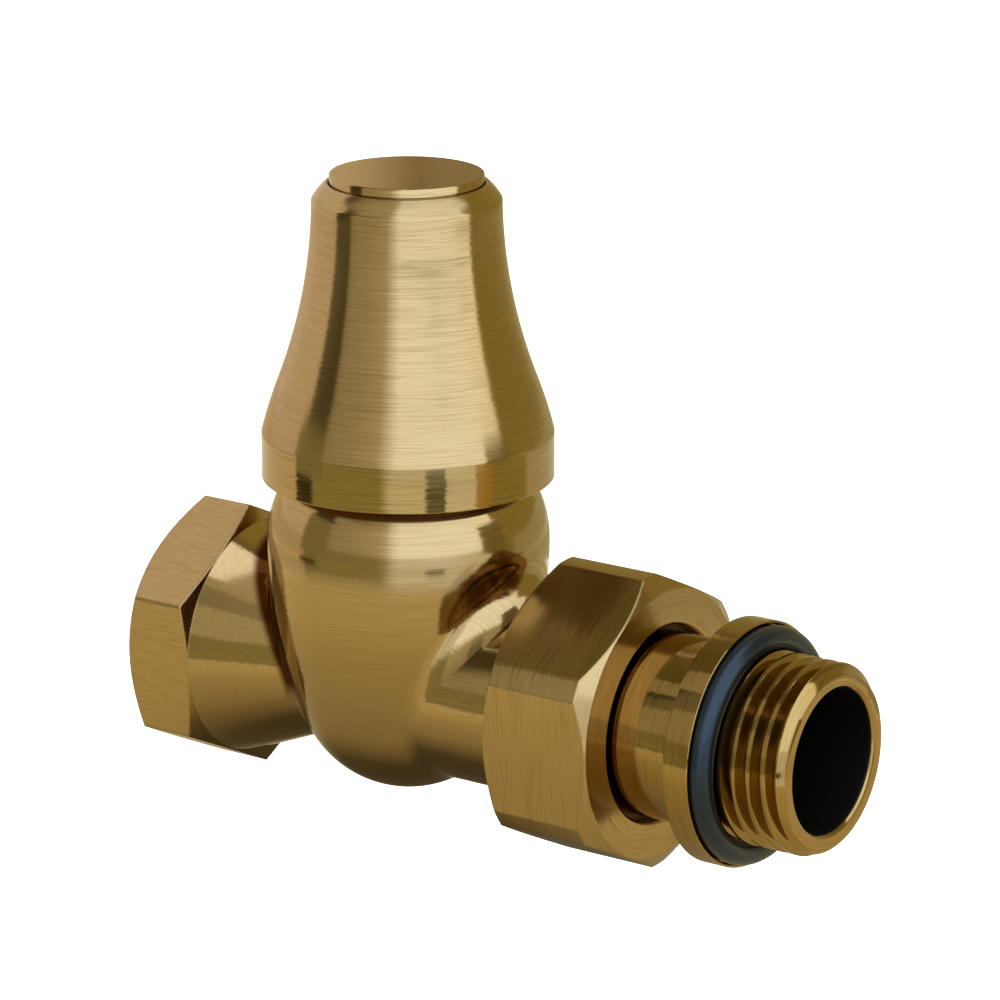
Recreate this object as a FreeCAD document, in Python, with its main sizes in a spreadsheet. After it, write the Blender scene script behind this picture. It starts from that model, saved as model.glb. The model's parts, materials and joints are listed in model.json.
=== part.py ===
# Straight manual radiator valve with a bell-shaped handle, in millimetres.
# The origin is the centre of the inlet mouth.
# The pipe runs along +X to the radiator and the spindle stands along +Z.
# Each piece is drawn about the pipe axis or the spindle axis and placed on its seat by the sheet's sizes.

import FreeCAD
import Part

import math
import os
from types import SimpleNamespace

import Sketcher
from FreeCAD import Placement, Rotation, Vector

DRIVING_SIZES = [
    # Layout
    ("inlet_length", 29.4, "inlet mouth to spindle axis"),
    ("outlet_length", 30.0, "spindle axis to union face"),
    ("valve_lift", 4.0, "travel of the plug from closed to open"),
    # Clearances
    ("running_clearance", 0.05, "radial play of turning and screwed fits"),
    ("slip_clearance", 0.1, "play of pieces that are slid together"),
    ("hex_land", 0.4, "how far a hexagon's end circle lies inside its flats"),
    ("hex_back_land", 0.1, "the same where the inlet hexagon meets its neck"),
    ("edge_break", 0.3, "small chamfer on turned edges"),
    # Body outside
    ("bulb_radius", 15.6, "widest radius of the bulb"),
    ("bulb_widest_height", 15.2, "pipe axis to the bulb's widest place"),
    ("bulb_depth", 13.35, "pipe axis to the bulb's lowest point"),
    ("bulb_bottom_bend", 12.6, "radius of the rounded bottom"),
    ("bulb_top_height", 22.2, "pipe axis to the top of the bulb"),
    ("body_rim_clearance", 1.25, "handle's wall to the upright rim above the bulb"),
    ("body_rim_height", 3.3, "height of that rim"),
    ("inlet_hex_flats", 27.0, "inlet hexagon across flats"),
    ("inlet_hex_length", 8.7, "inlet hexagon along the pipe"),
    ("inlet_neck_radius", 10.1, "narrow end of the conical neck between inlet hexagon and bulb"),
    ("inlet_neck_length", 8.3, "inlet hexagon to that narrow end"),
    ("outlet_neck_radius", 10.8, "neck between bulb and union thread"),
    ("inlet_neck_fillet", 0.8, "fillet between inlet neck and bulb"),
    ("outlet_neck_fillet", 4.0, "fillet between outlet neck and bulb"),
    ("shoulder_fillet", 0.8, "fillet at the union thread"),
    ("union_thread_length", 9.5, "union thread on the body, along the pipe"),
    # Body inside
    ("inlet_thread_radius", 9.3, "tapped inlet, at the thread's crests"),
    ("inlet_thread_depth", 14.0, "depth of the tapped inlet"),
    ("thread_lead_in", 0.45, "chamfer at the mouth of a thread"),
    ("chamber_radius", 9.2, "upper chamber"),
    ("bonnet_thread_radius", 10.0, "thread for the bonnet"),
    ("bonnet_thread_depth", 10.5, "depth of that thread"),
    ("seat_bore_radius", 5.5, "water way through the sealing lip"),
    ("seat_width", 1.5, "width of the sealing lip"),
    ("seat_rise", 1.2, "height of the sealing lip above the chamber floor"),
    ("lower_chamber_depth", 9.0, "chamber floor to the bottom of the lower chamber"),
    ("partition_thickness", 1.9, "wall between the two chambers"),
    ("inlet_passage_width", 9.6, "passage from the inlet to the lower chamber"),
    ("inlet_passage_height", 7.0, "height of that passage"),
    ("outlet_passage_width", 12.0, "passage from the upper chamber to the outlet"),
    ("outlet_passage_height", 6.4, "height of that passage"),
    ("passage_corner", 3.0, "rounded corners of both passages"),
    ("outlet_bore_radius", 7.5, "bore of the outlet"),
    ("outlet_bore_depth", 17.5, "union face to the end of the outlet bore"),
    # Plug
    ("washer_radius", 7.4, "soft sealing washer"),
    ("washer_thickness", 2.4, "thickness of that washer"),
    ("washer_screw_radius", 1.9, "shank of the washer's screw"),
    ("washer_screw_reach", 3.9, "how far that screw enters the jumper"),
    ("washer_screw_head_radius", 3.4, "head of that screw"),
    ("washer_screw_head_height", 1.6, "height of that head"),
    ("jumper_radius", 8.0, "jumper's disc"),
    ("jumper_thickness", 2.8, "thickness of that disc"),
    ("jumper_stem_radius", 2.5, "jumper's stem in the spindle"),
    ("jumper_stem_length", 6.0, "length of that stem"),
    ("clip_height", 2.2, "jumper's disc to the snap ring"),
    ("clip_thickness", 0.8, "snap ring along the spindle"),
    ("clip_depth", 0.6, "snap ring's bite into stem and into spindle"),
    ("clip_gap", 1.2, "opening of the snap ring"),
    # Spindle
    ("spindle_stem_radius", 4.0, "plain stem"),
    ("spindle_thread_radius", 5.0, "lifting thread"),
    ("spindle_thread_length", 12.0, "length of the lifting thread"),
    ("spindle_foot_radius", 4.6, "foot below the thread"),
    ("spindle_square", 6.0, "square end across flats"),
    ("spindle_tap_depth", 8.0, "depth of the hole for the handle's screw"),
    # Bonnet and gland
    ("gasket_thickness", 1.0, "flat ring under the bonnet"),
    ("gasket_width", 2.2, "width of that ring"),
    ("bonnet_hex_flats", 22.0, "bonnet's hexagon across flats"),
    ("bonnet_hex_height", 4.0, "height of that hexagon"),
    ("stop_height", 1.8, "bonnet's hexagon base to the shoulder that stops the spindle"),
    ("guide_length", 3.0, "plain bore above that shoulder"),
    ("stem_ring_wire", 1.2, "thickness of the ring in the guide bore"),
    ("gland_thread_radius", 7.5, "thread for the gland nut"),
    ("packing_radius", 6.0, "packing chamber"),
    ("packing_length", 2.5, "packing ring"),
    ("gland_ring_length", 2.4, "follower above the packing"),
    ("gland_gap", 0.2, "bonnet's top to the gland nut's lip"),
    ("gland_nut_flats", 18.0, "gland nut across flats"),
    ("gland_nut_skirt", 4.2, "threaded skirt of the gland nut"),
    ("gland_nut_lip", 1.8, "lip of the gland nut"),
    # Handle
    ("handle_gap", 0.15, "top of the bulb to the handle's edge"),
    ("handle_height", 32.9, "handle's edge to its top"),
    ("handle_rim_radius", 16.1, "upright band at the handle's edge"),
    ("handle_band_height", 5.1, "height of that band"),
    ("handle_flare_radius", 14.19, "radius where the bell turns from convex to hollow"),
    ("handle_flare_height", 11.1, "handle's edge to that place"),
    ("handle_flare_bend", 50.0, "bend below that place"),
    ("handle_waist_bend", 58.0, "hollow bend above it"),
    ("handle_crown_radius", 10.4, "radius just below the rounded top edge"),
    ("handle_crown_drop", 1.8, "height of the rounded top edge"),
    ("handle_crown_bend", 2.0, "bend of the rounded top edge"),
    ("handle_land", 0.35, "flat ring round the disc"),
    ("handle_wall", 1.45, "wall at the band"),
    ("handle_crown_wall", 0.6, "crown radius to the cavity's radius at its ceiling"),
    ("skirt_extra", 0.5, "straight cavity wall above the band"),
    ("handle_web", 2.0, "floor under the handle's screw"),
    ("insert_flats", 11.0, "bush across flats"),
    ("insert_clearance", 1.4, "gland nut to the bush"),
    ("insert_drop", 1.8, "how far the bush hangs below the cavity's ceiling"),
    ("disc_radius", 8.45, "disc in the handle's top"),
    ("disc_thickness", 1.8, "thickness of that disc"),
    ("disc_proud", 1.0, "how far the disc stands above the handle's top"),
    ("disc_spigot_height", 0.5, "short spigot under the disc"),
    ("screw_radius", 1.95, "shank of the handle's screw"),
    ("screw_length", 9.3, "length of that shank"),
    ("screw_head_radius", 3.5, "head of the handle's screw"),
    ("screw_head_height", 2.4, "height of that head"),
    ("screw_key_flats", 3.0, "key socket of the screws"),
    ("screw_key_depth", 1.0, "depth of that socket"),
    ("screw_washer_radius", 4.3, "washer under the handle's screw"),
    ("screw_washer_thickness", 0.7, "thickness of that washer"),
    ("screw_pocket_radius", 4.6, "recess for the handle's screw"),
    ("screw_pocket_depth", 3.7, "depth of that recess"),
    # Tail and union
    ("spigot_radius", 9.3, "tail's spigot in the body"),
    ("spigot_length", 4.9, "length of that spigot"),
    ("union_ring_wire", 1.4, "thickness of the ring on the spigot"),
    ("union_ring_offset", 2.3, "union face to the middle of that ring"),
    ("tail_neck_radius", 10.15, "tail's neck"),
    ("tail_neck_length", 12.66, "union face to the collar"),
    ("tail_rim", 0.9, "union face to the retaining ring"),
    ("retaining_ring_clearance", 0.5, "union thread to the outside of the retaining ring"),
    ("retaining_ring_width", 1.5, "retaining ring along the pipe"),
    ("retaining_ring_bite", 0.7, "depth of its groove in the neck"),
    ("retaining_ring_gap", 2.5, "opening of the retaining ring"),
    ("collar_radius", 13.4, "tail's collar"),
    ("collar_width", 3.06, "width of the collar"),
    ("collar_lip", 0.35, "thin lip round the rubber ring"),
    ("collar_recess", 0.9, "depth of the recess for the rubber ring"),
    ("tail_ring_wire", 2.8, "thickness of the rubber ring"),
    ("tail_reach", 9.75, "collar's front to the tail's end"),
    ("tail_thread_radius", 10.4775, "radiator thread at its crests"),
    ("tail_thread_depth", 1.162, "depth of that thread"),
    ("tail_thread_pitch", 1.814, "pitch of that thread"),
    ("tail_crest", 0.3, "width of a crest"),
    ("tail_end_chamfer", 0.84, "chamfer at the tail's end"),
    ("tail_last_valley", 1.43, "tail's end to the thread's last valley"),
    ("tail_bore_radius", 7.87, "bore at the tail's end"),
    ("tail_bore_depth", 11.0, "depth of that bore"),
    ("tail_key_flats", 12.0, "hexagonal bore for the tightening key"),
    ("nut_inset", 0.6, "how far the union nut's flats lie inside the bulb's sides"),
    ("nut_corner_cut", 0.67, "how far the union nut's corners are turned down"),
    ("nut_length", 13.4, "union nut along the pipe"),
    ("nut_lip", 1.5, "lip of the union nut"),
    ("nut_hole_clearance", 1.3, "tail's neck to the hole through that lip"),
    ("nut_wall", 1.75, "union nut's thread to its flats"),
]

TAIL_VALLEYS = 4
LEFT = "left"
RIGHT = "right"
SIDES = (1, -1)
FULL_TURN = 360.0
EDGE_SAMPLES = 9
SAME_PLACE = 1e-3
HEX_CORNER = 1 / math.sqrt(3)
HEX_CHAMFER_SLOPE = math.tan(math.radians(35))
HEX_BACK_SLOPE = math.tan(math.radians(15))
INLET_HEX_TURN = 4.5
NUT_TURN = 3.7
ALONG_PIPE = Rotation(Vector(0, 1, 0), 90)


class Size:
    """A length together with the sheet expression that gives it."""

    def __init__(self, value, text):
        self.value = value
        self.text = text

    def __add__(self, other):
        other = as_size(other)
        return Size(self.value + other.value, f"({self.text} + {other.text})")

    def __sub__(self, other):
        other = as_size(other)
        return Size(self.value - other.value, f"({self.text} - {other.text})")

    def __mul__(self, other):
        other = as_size(other)
        return Size(self.value * other.value, f"({self.text} * {other.text})")

    def __truediv__(self, other):
        other = as_size(other)
        return Size(self.value / other.value, f"({self.text} / {other.text})")

    def __neg__(self):
        return Size(-self.value, f"(0 - {self.text})")


def as_size(number):
    if isinstance(number, Size):
        return number
    return Size(float(number), repr(float(number)))


def make_sheet(document):
    """Write the driving sizes into the sheet and return them by name."""
    sheet = document.addObject("Spreadsheet::Sheet", "Sizes")
    sizes = {}
    for row, (name, value, note) in enumerate(DRIVING_SIZES, start=1):
        sheet.set(f"A{row}", name)
        sheet.set(f"B{row}", str(value))
        sheet.set(f"C{row}", note)
        sheet.setAlias(f"B{row}", name)
        sizes[name] = Size(value, f"Sizes.{name}")
    document.recompute()
    return SimpleNamespace(**sizes)


doc = FreeCAD.newDocument("RadiatorValve")
s = make_sheet(doc)
pieces = []


# Drawing and feature helpers

def new_body(label):
    body = doc.addObject("PartDesign::Body", label)
    body.Label = label
    pieces.append(body)
    return body


def place(piece, x=0, z=0):
    """Put a piece at a distance along the pipe from the spindle axis, at a height above the pipe."""
    piece.setExpression("Placement.Base.x", (s.inlet_length + x).text)
    piece.setExpression("Placement.Base.z", as_size(z).text)


def new_sketch(body, role, offset=0):
    """An empty sketch on one of the body's own planes, moved along that plane's normal."""
    plane = next(feature for feature in body.Origin.OriginFeatures if feature.Role == role)
    sketch = body.newObject("Sketcher::SketchObject", "Outline")
    sketch.AttachmentSupport = [(plane, "")]
    sketch.MapMode = "FlatFace"
    sketch.setExpression("AttachmentOffset.Base.z", as_size(offset).text)
    return sketch


def arc_between(start, end, radius, turn):
    """The shorter arc from start to end that turns left or right."""
    chord = end - start
    across = Vector(-chord.y, chord.x, 0).normalize()
    rise = math.sqrt(max(radius ** 2 - (chord.Length / 2) ** 2, 0.0))
    centre = start + chord * 0.5 + across * (rise if turn == LEFT else -rise)
    first, last = (start, end) if turn == LEFT else (end, start)
    angles = [math.atan2(point.y - centre.y, point.x - centre.x) for point in (first, last)]
    circle = Part.Circle(centre, Vector(0, 0, 1), radius)
    return Part.ArcOfCircle(circle, *angles)


def bind(sketch, kind, position, size):
    """Hold one dimension of a sketch at a size of the sheet."""
    number = sketch.addConstraint(Sketcher.Constraint(kind, *position, size.value))
    sketch.setExpression(f"Constraints[{number}]", size.text)


def bind_point(sketch, side, end, u, v):
    """Hold one end of a side at (u, v), on an axis where a coordinate is a plain zero.

    In a sketch the upright axis is number -2, the level axis is -1 and the origin is the start of -1.
    """
    for kind, axis, size in (("DistanceX", -2, u), ("DistanceY", -1, v)):
        if size.text == as_size(0).text:
            sketch.addConstraint(Sketcher.Constraint("PointOnObject", side, end, axis))
        else:
            bind(sketch, kind, (-1, 1, side, end), size)


def outline(body, role, corners, offset=0):
    """A closed outline of corners: (u, v), or (u, v, radius, turn) where an arc leaves the corner."""
    sketch = new_sketch(body, role, offset)
    points = [(as_size(corner[0]), as_size(corner[1])) for corner in corners]
    places = [Vector(u.value, v.value, 0) for u, v in points]
    ends = []
    for number, corner in enumerate(corners):
        start = places[number]
        end = places[(number + 1) % len(places)]
        if len(corner) == 2:
            sketch.addGeometry(Part.LineSegment(start, end), False)
            ends.append((1, 2))
        else:
            sketch.addGeometry(arc_between(start, end, corner[2].value, corner[3]), False)
            ends.append((1, 2) if corner[3] == LEFT else (2, 1))
    for number, corner in enumerate(corners):
        before = (number - 1) % len(corners)
        joined = (before, ends[before][1], number, ends[number][0])
        sketch.addConstraint(Sketcher.Constraint("Coincident", *joined))
        bind_point(sketch, number, ends[number][0], *points[number])
        if len(corner) > 2:
            bind(sketch, "Radius", (number,), corner[2])
    return sketch


def circle(body, role, radius, offset=0):
    """A circle about the body's own origin."""
    sketch = new_sketch(body, role, offset)
    sketch.addGeometry(Part.Circle(Vector(0, 0, 0), Vector(0, 0, 1), radius.value), False)
    sketch.addConstraint(Sketcher.Constraint("Coincident", 0, 3, -1, 1))
    bind(sketch, "Radius", (0,), radius)
    return sketch


def hexagon(flats, turn=0.0):
    """Corners of a hexagon that stands on a corner, turned by some degrees."""
    radius = flats * HEX_CORNER
    angles = [math.radians(90 + turn + 60 * number) for number in range(6)]
    return [(radius * math.cos(angle), radius * math.sin(angle)) for angle in angles]


def rounded_rectangle(width, height, corner, middle):
    """Corners of a rectangle with rounded corners, centred sideways and at a height."""
    side = width / 2
    inner = side - corner
    low = middle - height / 2
    high = middle + height / 2
    return [
        (-inner, low), (inner, low, corner, LEFT),
        (side, low + corner), (side, high - corner, corner, LEFT),
        (inner, high), (-inner, high, corner, LEFT),
        (-side, high - corner), (-side, low + corner, corner, LEFT),
    ]


def revolve(body, sketch, axis):
    feature = body.newObject("PartDesign::Revolution", "Turned")
    feature.Profile = sketch
    feature.ReferenceAxis = (sketch, [axis])
    feature.Angle = FULL_TURN
    doc.recompute()


def pad(body, sketch, length, reverse=False):
    feature = body.newObject("PartDesign::Pad", "Pad")
    feature.Profile = sketch
    feature.setExpression("Length", length.text)
    feature.Reversed = reverse
    doc.recompute()


def check_cut(body, before):
    doc.recompute()
    if body.Shape.Volume >= before:
        raise RuntimeError(f"a cut in {body.Label} removes nothing")


def groove(body, sketch, axis):
    before = body.Shape.Volume
    feature = body.newObject("PartDesign::Groove", "Groove")
    feature.Profile = sketch
    feature.ReferenceAxis = (sketch, [axis])
    feature.Angle = FULL_TURN
    check_cut(body, before)


def pocket(body, sketch, length, reverse=False):
    before = body.Shape.Volume
    feature = body.newObject("PartDesign::Pocket", "Pocket")
    feature.Profile = sketch
    feature.setExpression("Length", length.text)
    feature.Reversed = reverse
    check_cut(body, before)


def fillet(body, edges, radius):
    base = body.Tip
    feature = body.newObject("PartDesign::Fillet", "Fillet")
    feature.Base = (base, edges)
    feature.setExpression("Radius", radius.text)
    doc.recompute()


def turned_upright(label, corners, role="XZ_Plane"):
    """A piece turned about the spindle axis from an outline of (radius, height)."""
    body = new_body(label)
    revolve(body, outline(body, role, corners), "V_Axis")
    return body


def turned_along_pipe(label, corners):
    """A piece turned about the pipe axis from an outline of (distance along the pipe, radius)."""
    body = new_body(label)
    revolve(body, outline(body, "XZ_Plane", corners), "H_Axis")
    return body


def ring_corners(inner, outer, height):
    return [(inner, 0), (outer, 0), (outer, height), (inner, height)]


def chamfer_hexagon(body, flats, end, inward, upright, slope=HEX_CHAMFER_SLOPE, land=None):
    """Turn the corners of a hexagon's end down to a circle; inward is +1 or -1 along the axis."""
    land = land or flats / 2 - s.hex_land
    beyond = flats * HEX_CORNER + s.edge_break
    deep = end + (beyond - land) * slope * inward
    corners = [(end, land), (end, beyond), (deep, beyond)]
    if upright:
        corners = [(radius, height) for height, radius in corners]
    groove(body, outline(body, "XZ_Plane", corners), "V_Axis" if upright else "H_Axis")


def o_ring(label, radius, wire, rotation=Rotation()):
    """A rubber ring of round section; radius is to the middle of its wire."""
    ring = doc.addObject("Part::Torus", label)
    ring.Label = label
    ring.setExpression("Radius1", radius.text)
    ring.setExpression("Radius2", (wire / 2).text)
    ring.Placement = Placement(Vector(0, 0, 0), rotation)
    pieces.append(ring)
    return ring


# Heights and distances shared by several pieces

handle_skirt_radius = s.handle_rim_radius - s.handle_wall
body_rim_radius = handle_skirt_radius - s.body_rim_clearance
body_rim_top = s.bulb_top_height + s.body_rim_height
bonnet_base = body_rim_top + s.gasket_thickness
spindle_stop = bonnet_base + s.stop_height
packing_floor = spindle_stop + s.guide_length
gland_lip = packing_floor + s.packing_length + s.gland_ring_length
bonnet_top = gland_lip - s.gland_gap
gland_top = gland_lip + s.gland_nut_lip

jumper_base = s.seat_rise + s.washer_thickness
jumper_top = jumper_base + s.jumper_thickness
spindle_base = jumper_top + s.slip_clearance
spindle_thread_top = spindle_stop - s.valve_lift - s.edge_break
spindle_thread_base = spindle_thread_top - s.spindle_thread_length

handle_edge = s.bulb_top_height + s.handle_gap
handle_top = handle_edge + s.handle_height
disc_base = handle_top + s.disc_proud - s.disc_thickness
disc_floor = disc_base - s.slip_clearance
screw_floor = disc_floor - s.screw_pocket_depth
insert_top = screw_floor - s.handle_web - s.slip_clearance
insert_base = gland_top + s.insert_clearance
cavity_ceiling = insert_base + s.insert_drop
spindle_top = insert_top - s.slip_clearance
square_base = insert_base - s.edge_break

collar_back = s.outlet_length + s.tail_neck_length
collar_front = collar_back + s.collar_width
tail_end = collar_front + s.tail_reach
retaining_groove = s.outlet_length + s.tail_rim
retaining_groove_width = s.retaining_ring_width + s.slip_clearance
nut_lip_back = retaining_groove + retaining_groove_width
nut_front = nut_lip_back + s.nut_lip
nut_back = nut_front - s.nut_length
spigot_nose = s.outlet_length - s.spigot_length
spigot_bore_radius = s.spigot_radius + s.slip_clearance
nut_half_flats = s.bulb_radius - s.nut_inset
nut_thread_radius = nut_half_flats - s.nut_wall
union_thread_radius = nut_thread_radius - s.running_clearance


# Body casting: bulb, necks, inlet hexagon and union thread, with its chambers and passages

def edges_on_neck(shape, radius, low, high, taper=0.0, start=0.0):
    """Names of the curved edges that lie on a neck's surface between two places along the pipe.

    The neck has its radius at the start and narrows by the taper along the pipe.
    """
    names = []
    for number, edge in enumerate(shape.Edges, start=1):
        if edge.Degenerated or isinstance(edge.Curve, Part.Line):
            continue
        points = edge.discretize(EDGE_SAMPLES)
        depths = [
            radius.value - taper * (point.x - start) - math.hypot(point.y, point.z) for point in points
        ]
        on_neck = all(abs(depth) < SAME_PLACE for depth in depths)
        inside = all(low.value - SAME_PLACE < point.x < high.value + SAME_PLACE for point in points)
        if on_neck and inside:
            names.append(f"Edge{number}")
    return names


def bulb_corners():
    """Egg-shaped outline: a rounded bottom, a long flank tangent to it and a shoulder up to the rim."""
    bottom_centre = s.bulb_bottom_bend - s.bulb_depth
    rise = s.bulb_widest_height - bottom_centre
    flank_bend = (
        (s.bulb_radius * s.bulb_radius + rise * rise - s.bulb_bottom_bend * s.bulb_bottom_bend)
        / (s.bulb_radius - s.bulb_bottom_bend) / 2
    )
    share = s.bulb_bottom_bend / (flank_bend - s.bulb_bottom_bend)
    shoulder_in = s.bulb_radius - body_rim_radius
    shoulder_up = s.bulb_top_height - s.bulb_widest_height
    shoulder_bend = (shoulder_in * shoulder_in + shoulder_up * shoulder_up) / shoulder_in / 2
    return [
        (0, -s.bulb_depth, s.bulb_bottom_bend, LEFT),
        ((flank_bend - s.bulb_radius) * share, bottom_centre - rise * share, flank_bend, LEFT),
        (s.bulb_radius, s.bulb_widest_height, shoulder_bend, LEFT),
        (body_rim_radius, s.bulb_top_height),
        (body_rim_radius, body_rim_top),
        (0, body_rim_top),
    ]


def make_valve_body():
    body = turned_upright("valve_body", bulb_corners(), role="YZ_Plane")
    hex_end = s.inlet_length - s.inlet_hex_length
    thread_start = s.outlet_length - s.union_thread_length
    neck_radius = s.inlet_hex_flats / 2 - s.hex_back_land
    taper = (neck_radius - s.inlet_neck_radius) / s.inlet_neck_length
    neck_end = -s.seat_bore_radius
    revolve(body, outline(body, "XZ_Plane", [
        (-hex_end, 0), (neck_end, 0), (neck_end, neck_radius - taper * (hex_end + neck_end)),
        (-hex_end, neck_radius),
    ]), "H_Axis")
    pad(body, circle(body, "YZ_Plane", s.outlet_neck_radius), thread_start)
    inlet_edges = edges_on_neck(
        body.Tip.Shape, neck_radius, -s.bulb_radius, as_size(0), taper.value, -hex_end.value
    )
    fillet(body, inlet_edges, s.inlet_neck_fillet)
    outlet_edges = edges_on_neck(body.Tip.Shape, s.outlet_neck_radius, as_size(0), s.bulb_radius)
    fillet(body, outlet_edges, s.outlet_neck_fillet)

    pad(body, outline(body, "YZ_Plane", hexagon(s.inlet_hex_flats, INLET_HEX_TURN), -s.inlet_length),
        s.inlet_hex_length)
    chamfer_hexagon(body, s.inlet_hex_flats, -s.inlet_length, 1, upright=False)
    chamfer_hexagon(
        body, s.inlet_hex_flats, -hex_end, -1, upright=False, slope=HEX_BACK_SLOPE, land=neck_radius
    )
    pad(body, circle(body, "YZ_Plane", union_thread_radius, thread_start), s.union_thread_length)
    thread_edges = edges_on_neck(body.Tip.Shape, s.outlet_neck_radius, thread_start, thread_start)
    fillet(body, thread_edges, s.shoulder_fillet)

    bonnet_floor = body_rim_top - s.bonnet_thread_depth
    seat_outer = s.seat_bore_radius + s.seat_width
    groove(body, outline(body, "XZ_Plane", [
        (0, body_rim_top), (0, -s.lower_chamber_depth),
        (s.seat_bore_radius, -s.lower_chamber_depth), (s.seat_bore_radius, s.seat_rise),
        (seat_outer - s.edge_break, s.seat_rise), (seat_outer, 0),
        (s.chamber_radius, 0), (s.chamber_radius, bonnet_floor),
        (s.bonnet_thread_radius, bonnet_floor), (s.bonnet_thread_radius, body_rim_top),
    ]), "V_Axis")

    mouth = -s.inlet_length
    socket_end = mouth + s.inlet_thread_depth
    groove(body, outline(body, "XZ_Plane", [
        (mouth, 0), (mouth, s.inlet_thread_radius + s.thread_lead_in),
        (mouth + s.thread_lead_in, s.inlet_thread_radius),
        (socket_end, s.inlet_thread_radius), (socket_end, 0),
    ]), "H_Axis")
    inlet_middle = -(s.partition_thickness + s.inlet_passage_height / 2)
    pocket(body, outline(body, "YZ_Plane", rounded_rectangle(
        s.inlet_passage_width, s.inlet_passage_height, s.passage_corner, inlet_middle
    )), s.inlet_length - s.inlet_thread_depth + s.edge_break)

    bore_end = s.outlet_length - s.outlet_bore_depth
    face = s.outlet_length
    spigot_floor = spigot_nose - s.slip_clearance
    groove(body, outline(body, "XZ_Plane", [
        (bore_end, 0), (bore_end, s.outlet_bore_radius), (spigot_floor, s.outlet_bore_radius),
        (spigot_floor, spigot_bore_radius), (face - s.edge_break, spigot_bore_radius),
        (face, spigot_bore_radius + s.edge_break), (face, 0),
    ]), "H_Axis")
    outlet_middle = s.seat_rise + s.edge_break + s.outlet_passage_height / 2
    pocket(body, outline(body, "YZ_Plane", rounded_rectangle(
        s.outlet_passage_width, s.outlet_passage_height, s.passage_corner, outlet_middle
    )), bore_end + s.edge_break, reverse=True)
    place(body)


# Plug: sealing washer, its screw, and the jumper that hangs on the spindle

def make_seat_washer():
    bore = s.washer_screw_radius + s.running_clearance
    washer = turned_upright("seat_washer", ring_corners(bore, s.washer_radius, s.washer_thickness))
    place(washer, z=s.seat_rise)


def make_washer_screw():
    reach = s.washer_thickness + s.washer_screw_reach
    screw = turned_upright("washer_screw", [
        (0, -s.washer_screw_head_height), (s.washer_screw_head_radius, -s.washer_screw_head_height),
        (s.washer_screw_head_radius, 0), (s.washer_screw_radius, 0),
        (s.washer_screw_radius, reach - s.edge_break),
        (s.washer_screw_radius - s.edge_break, reach), (0, reach),
    ])
    key_socket = outline(screw, "XY_Plane", hexagon(s.screw_key_flats), -s.washer_screw_head_height)
    pocket(screw, key_socket, s.screw_key_depth, reverse=True)
    place(screw, z=s.seat_rise)


def make_jumper():
    stem_top = s.jumper_thickness + s.jumper_stem_length
    tap_radius = s.washer_screw_radius + s.running_clearance
    tap_end = s.washer_screw_reach + s.slip_clearance
    clip_low = s.jumper_thickness + s.clip_height
    clip_high = clip_low + s.clip_thickness + s.slip_clearance * 2
    clip_floor = s.jumper_stem_radius - s.clip_depth
    jumper = turned_upright("jumper", [
        (tap_radius, 0), (s.jumper_radius - s.edge_break, 0), (s.jumper_radius, s.edge_break),
        (s.jumper_radius, s.jumper_thickness), (s.jumper_stem_radius, s.jumper_thickness),
        (s.jumper_stem_radius, clip_low), (clip_floor, clip_low),
        (clip_floor, clip_high), (s.jumper_stem_radius, clip_high),
        (s.jumper_stem_radius, stem_top - s.edge_break), (s.jumper_stem_radius - s.edge_break, stem_top),
        (0, stem_top), (0, tap_end), (tap_radius, tap_end),
    ])
    place(jumper, z=jumper_base)


def make_jumper_clip():
    inner = s.jumper_stem_radius - s.clip_depth + s.slip_clearance
    outer = s.jumper_stem_radius + s.clip_depth
    clip = turned_upright("jumper_clip", ring_corners(inner, outer, s.clip_thickness))
    half_gap = s.clip_gap / 2
    notch = [(-half_gap, 0), (half_gap, 0), (half_gap, outer * 2), (-half_gap, outer * 2)]
    pocket(clip, outline(clip, "XY_Plane", notch), s.clip_thickness, reverse=True)
    place(clip, z=jumper_top + s.clip_height + s.slip_clearance)


# Spindle with its lifting thread, square end and socket for the jumper

def make_spindle():
    height = spindle_top - spindle_base
    thread_low = spindle_thread_base - spindle_base
    thread_high = spindle_thread_top - spindle_base
    socket_radius = s.jumper_stem_radius + s.running_clearance
    socket_end = s.jumper_stem_length + s.slip_clearance
    clip_low = s.clip_height - s.slip_clearance
    clip_high = clip_low + s.clip_thickness + s.slip_clearance * 2
    clip_floor = s.jumper_stem_radius + s.clip_depth + s.slip_clearance
    tap_radius = s.screw_radius + s.running_clearance
    tap_end = height - s.spindle_tap_depth
    spindle = turned_upright("spindle", [
        (socket_radius, 0), (s.spindle_foot_radius, 0), (s.spindle_foot_radius, thread_low),
        (s.spindle_thread_radius, thread_low + s.edge_break),
        (s.spindle_thread_radius, thread_high - s.edge_break),
        (s.spindle_thread_radius - s.edge_break, thread_high), (s.spindle_stem_radius, thread_high),
        (s.spindle_stem_radius, height - s.edge_break), (s.spindle_stem_radius - s.edge_break, height),
        (tap_radius, height), (tap_radius, tap_end), (0, tap_end),
        (0, socket_end), (socket_radius, socket_end),
        (socket_radius, clip_high), (clip_floor, clip_high),
        (clip_floor, clip_low), (socket_radius, clip_low),
    ])
    half = s.spindle_square / 2
    beyond = s.spindle_stem_radius * 2
    square_low = square_base - spindle_base
    for side in SIDES:
        edge = half * side
        far = beyond * side
        for flat in (
            [(edge, -beyond), (far, -beyond), (far, beyond), (edge, beyond)],
            [(-beyond, edge), (-beyond, far), (beyond, far), (beyond, edge)],
        ):
            pocket(spindle, outline(spindle, "XY_Plane", flat, height), height - square_low)
    place(spindle, z=spindle_base)


# Bonnet with the gland that seals the stem

stem_ring_height = s.stop_height + s.guide_length / 2
guide_radius = s.spindle_stem_radius + s.running_clearance
packing_bore = s.packing_radius - s.running_clearance


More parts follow.
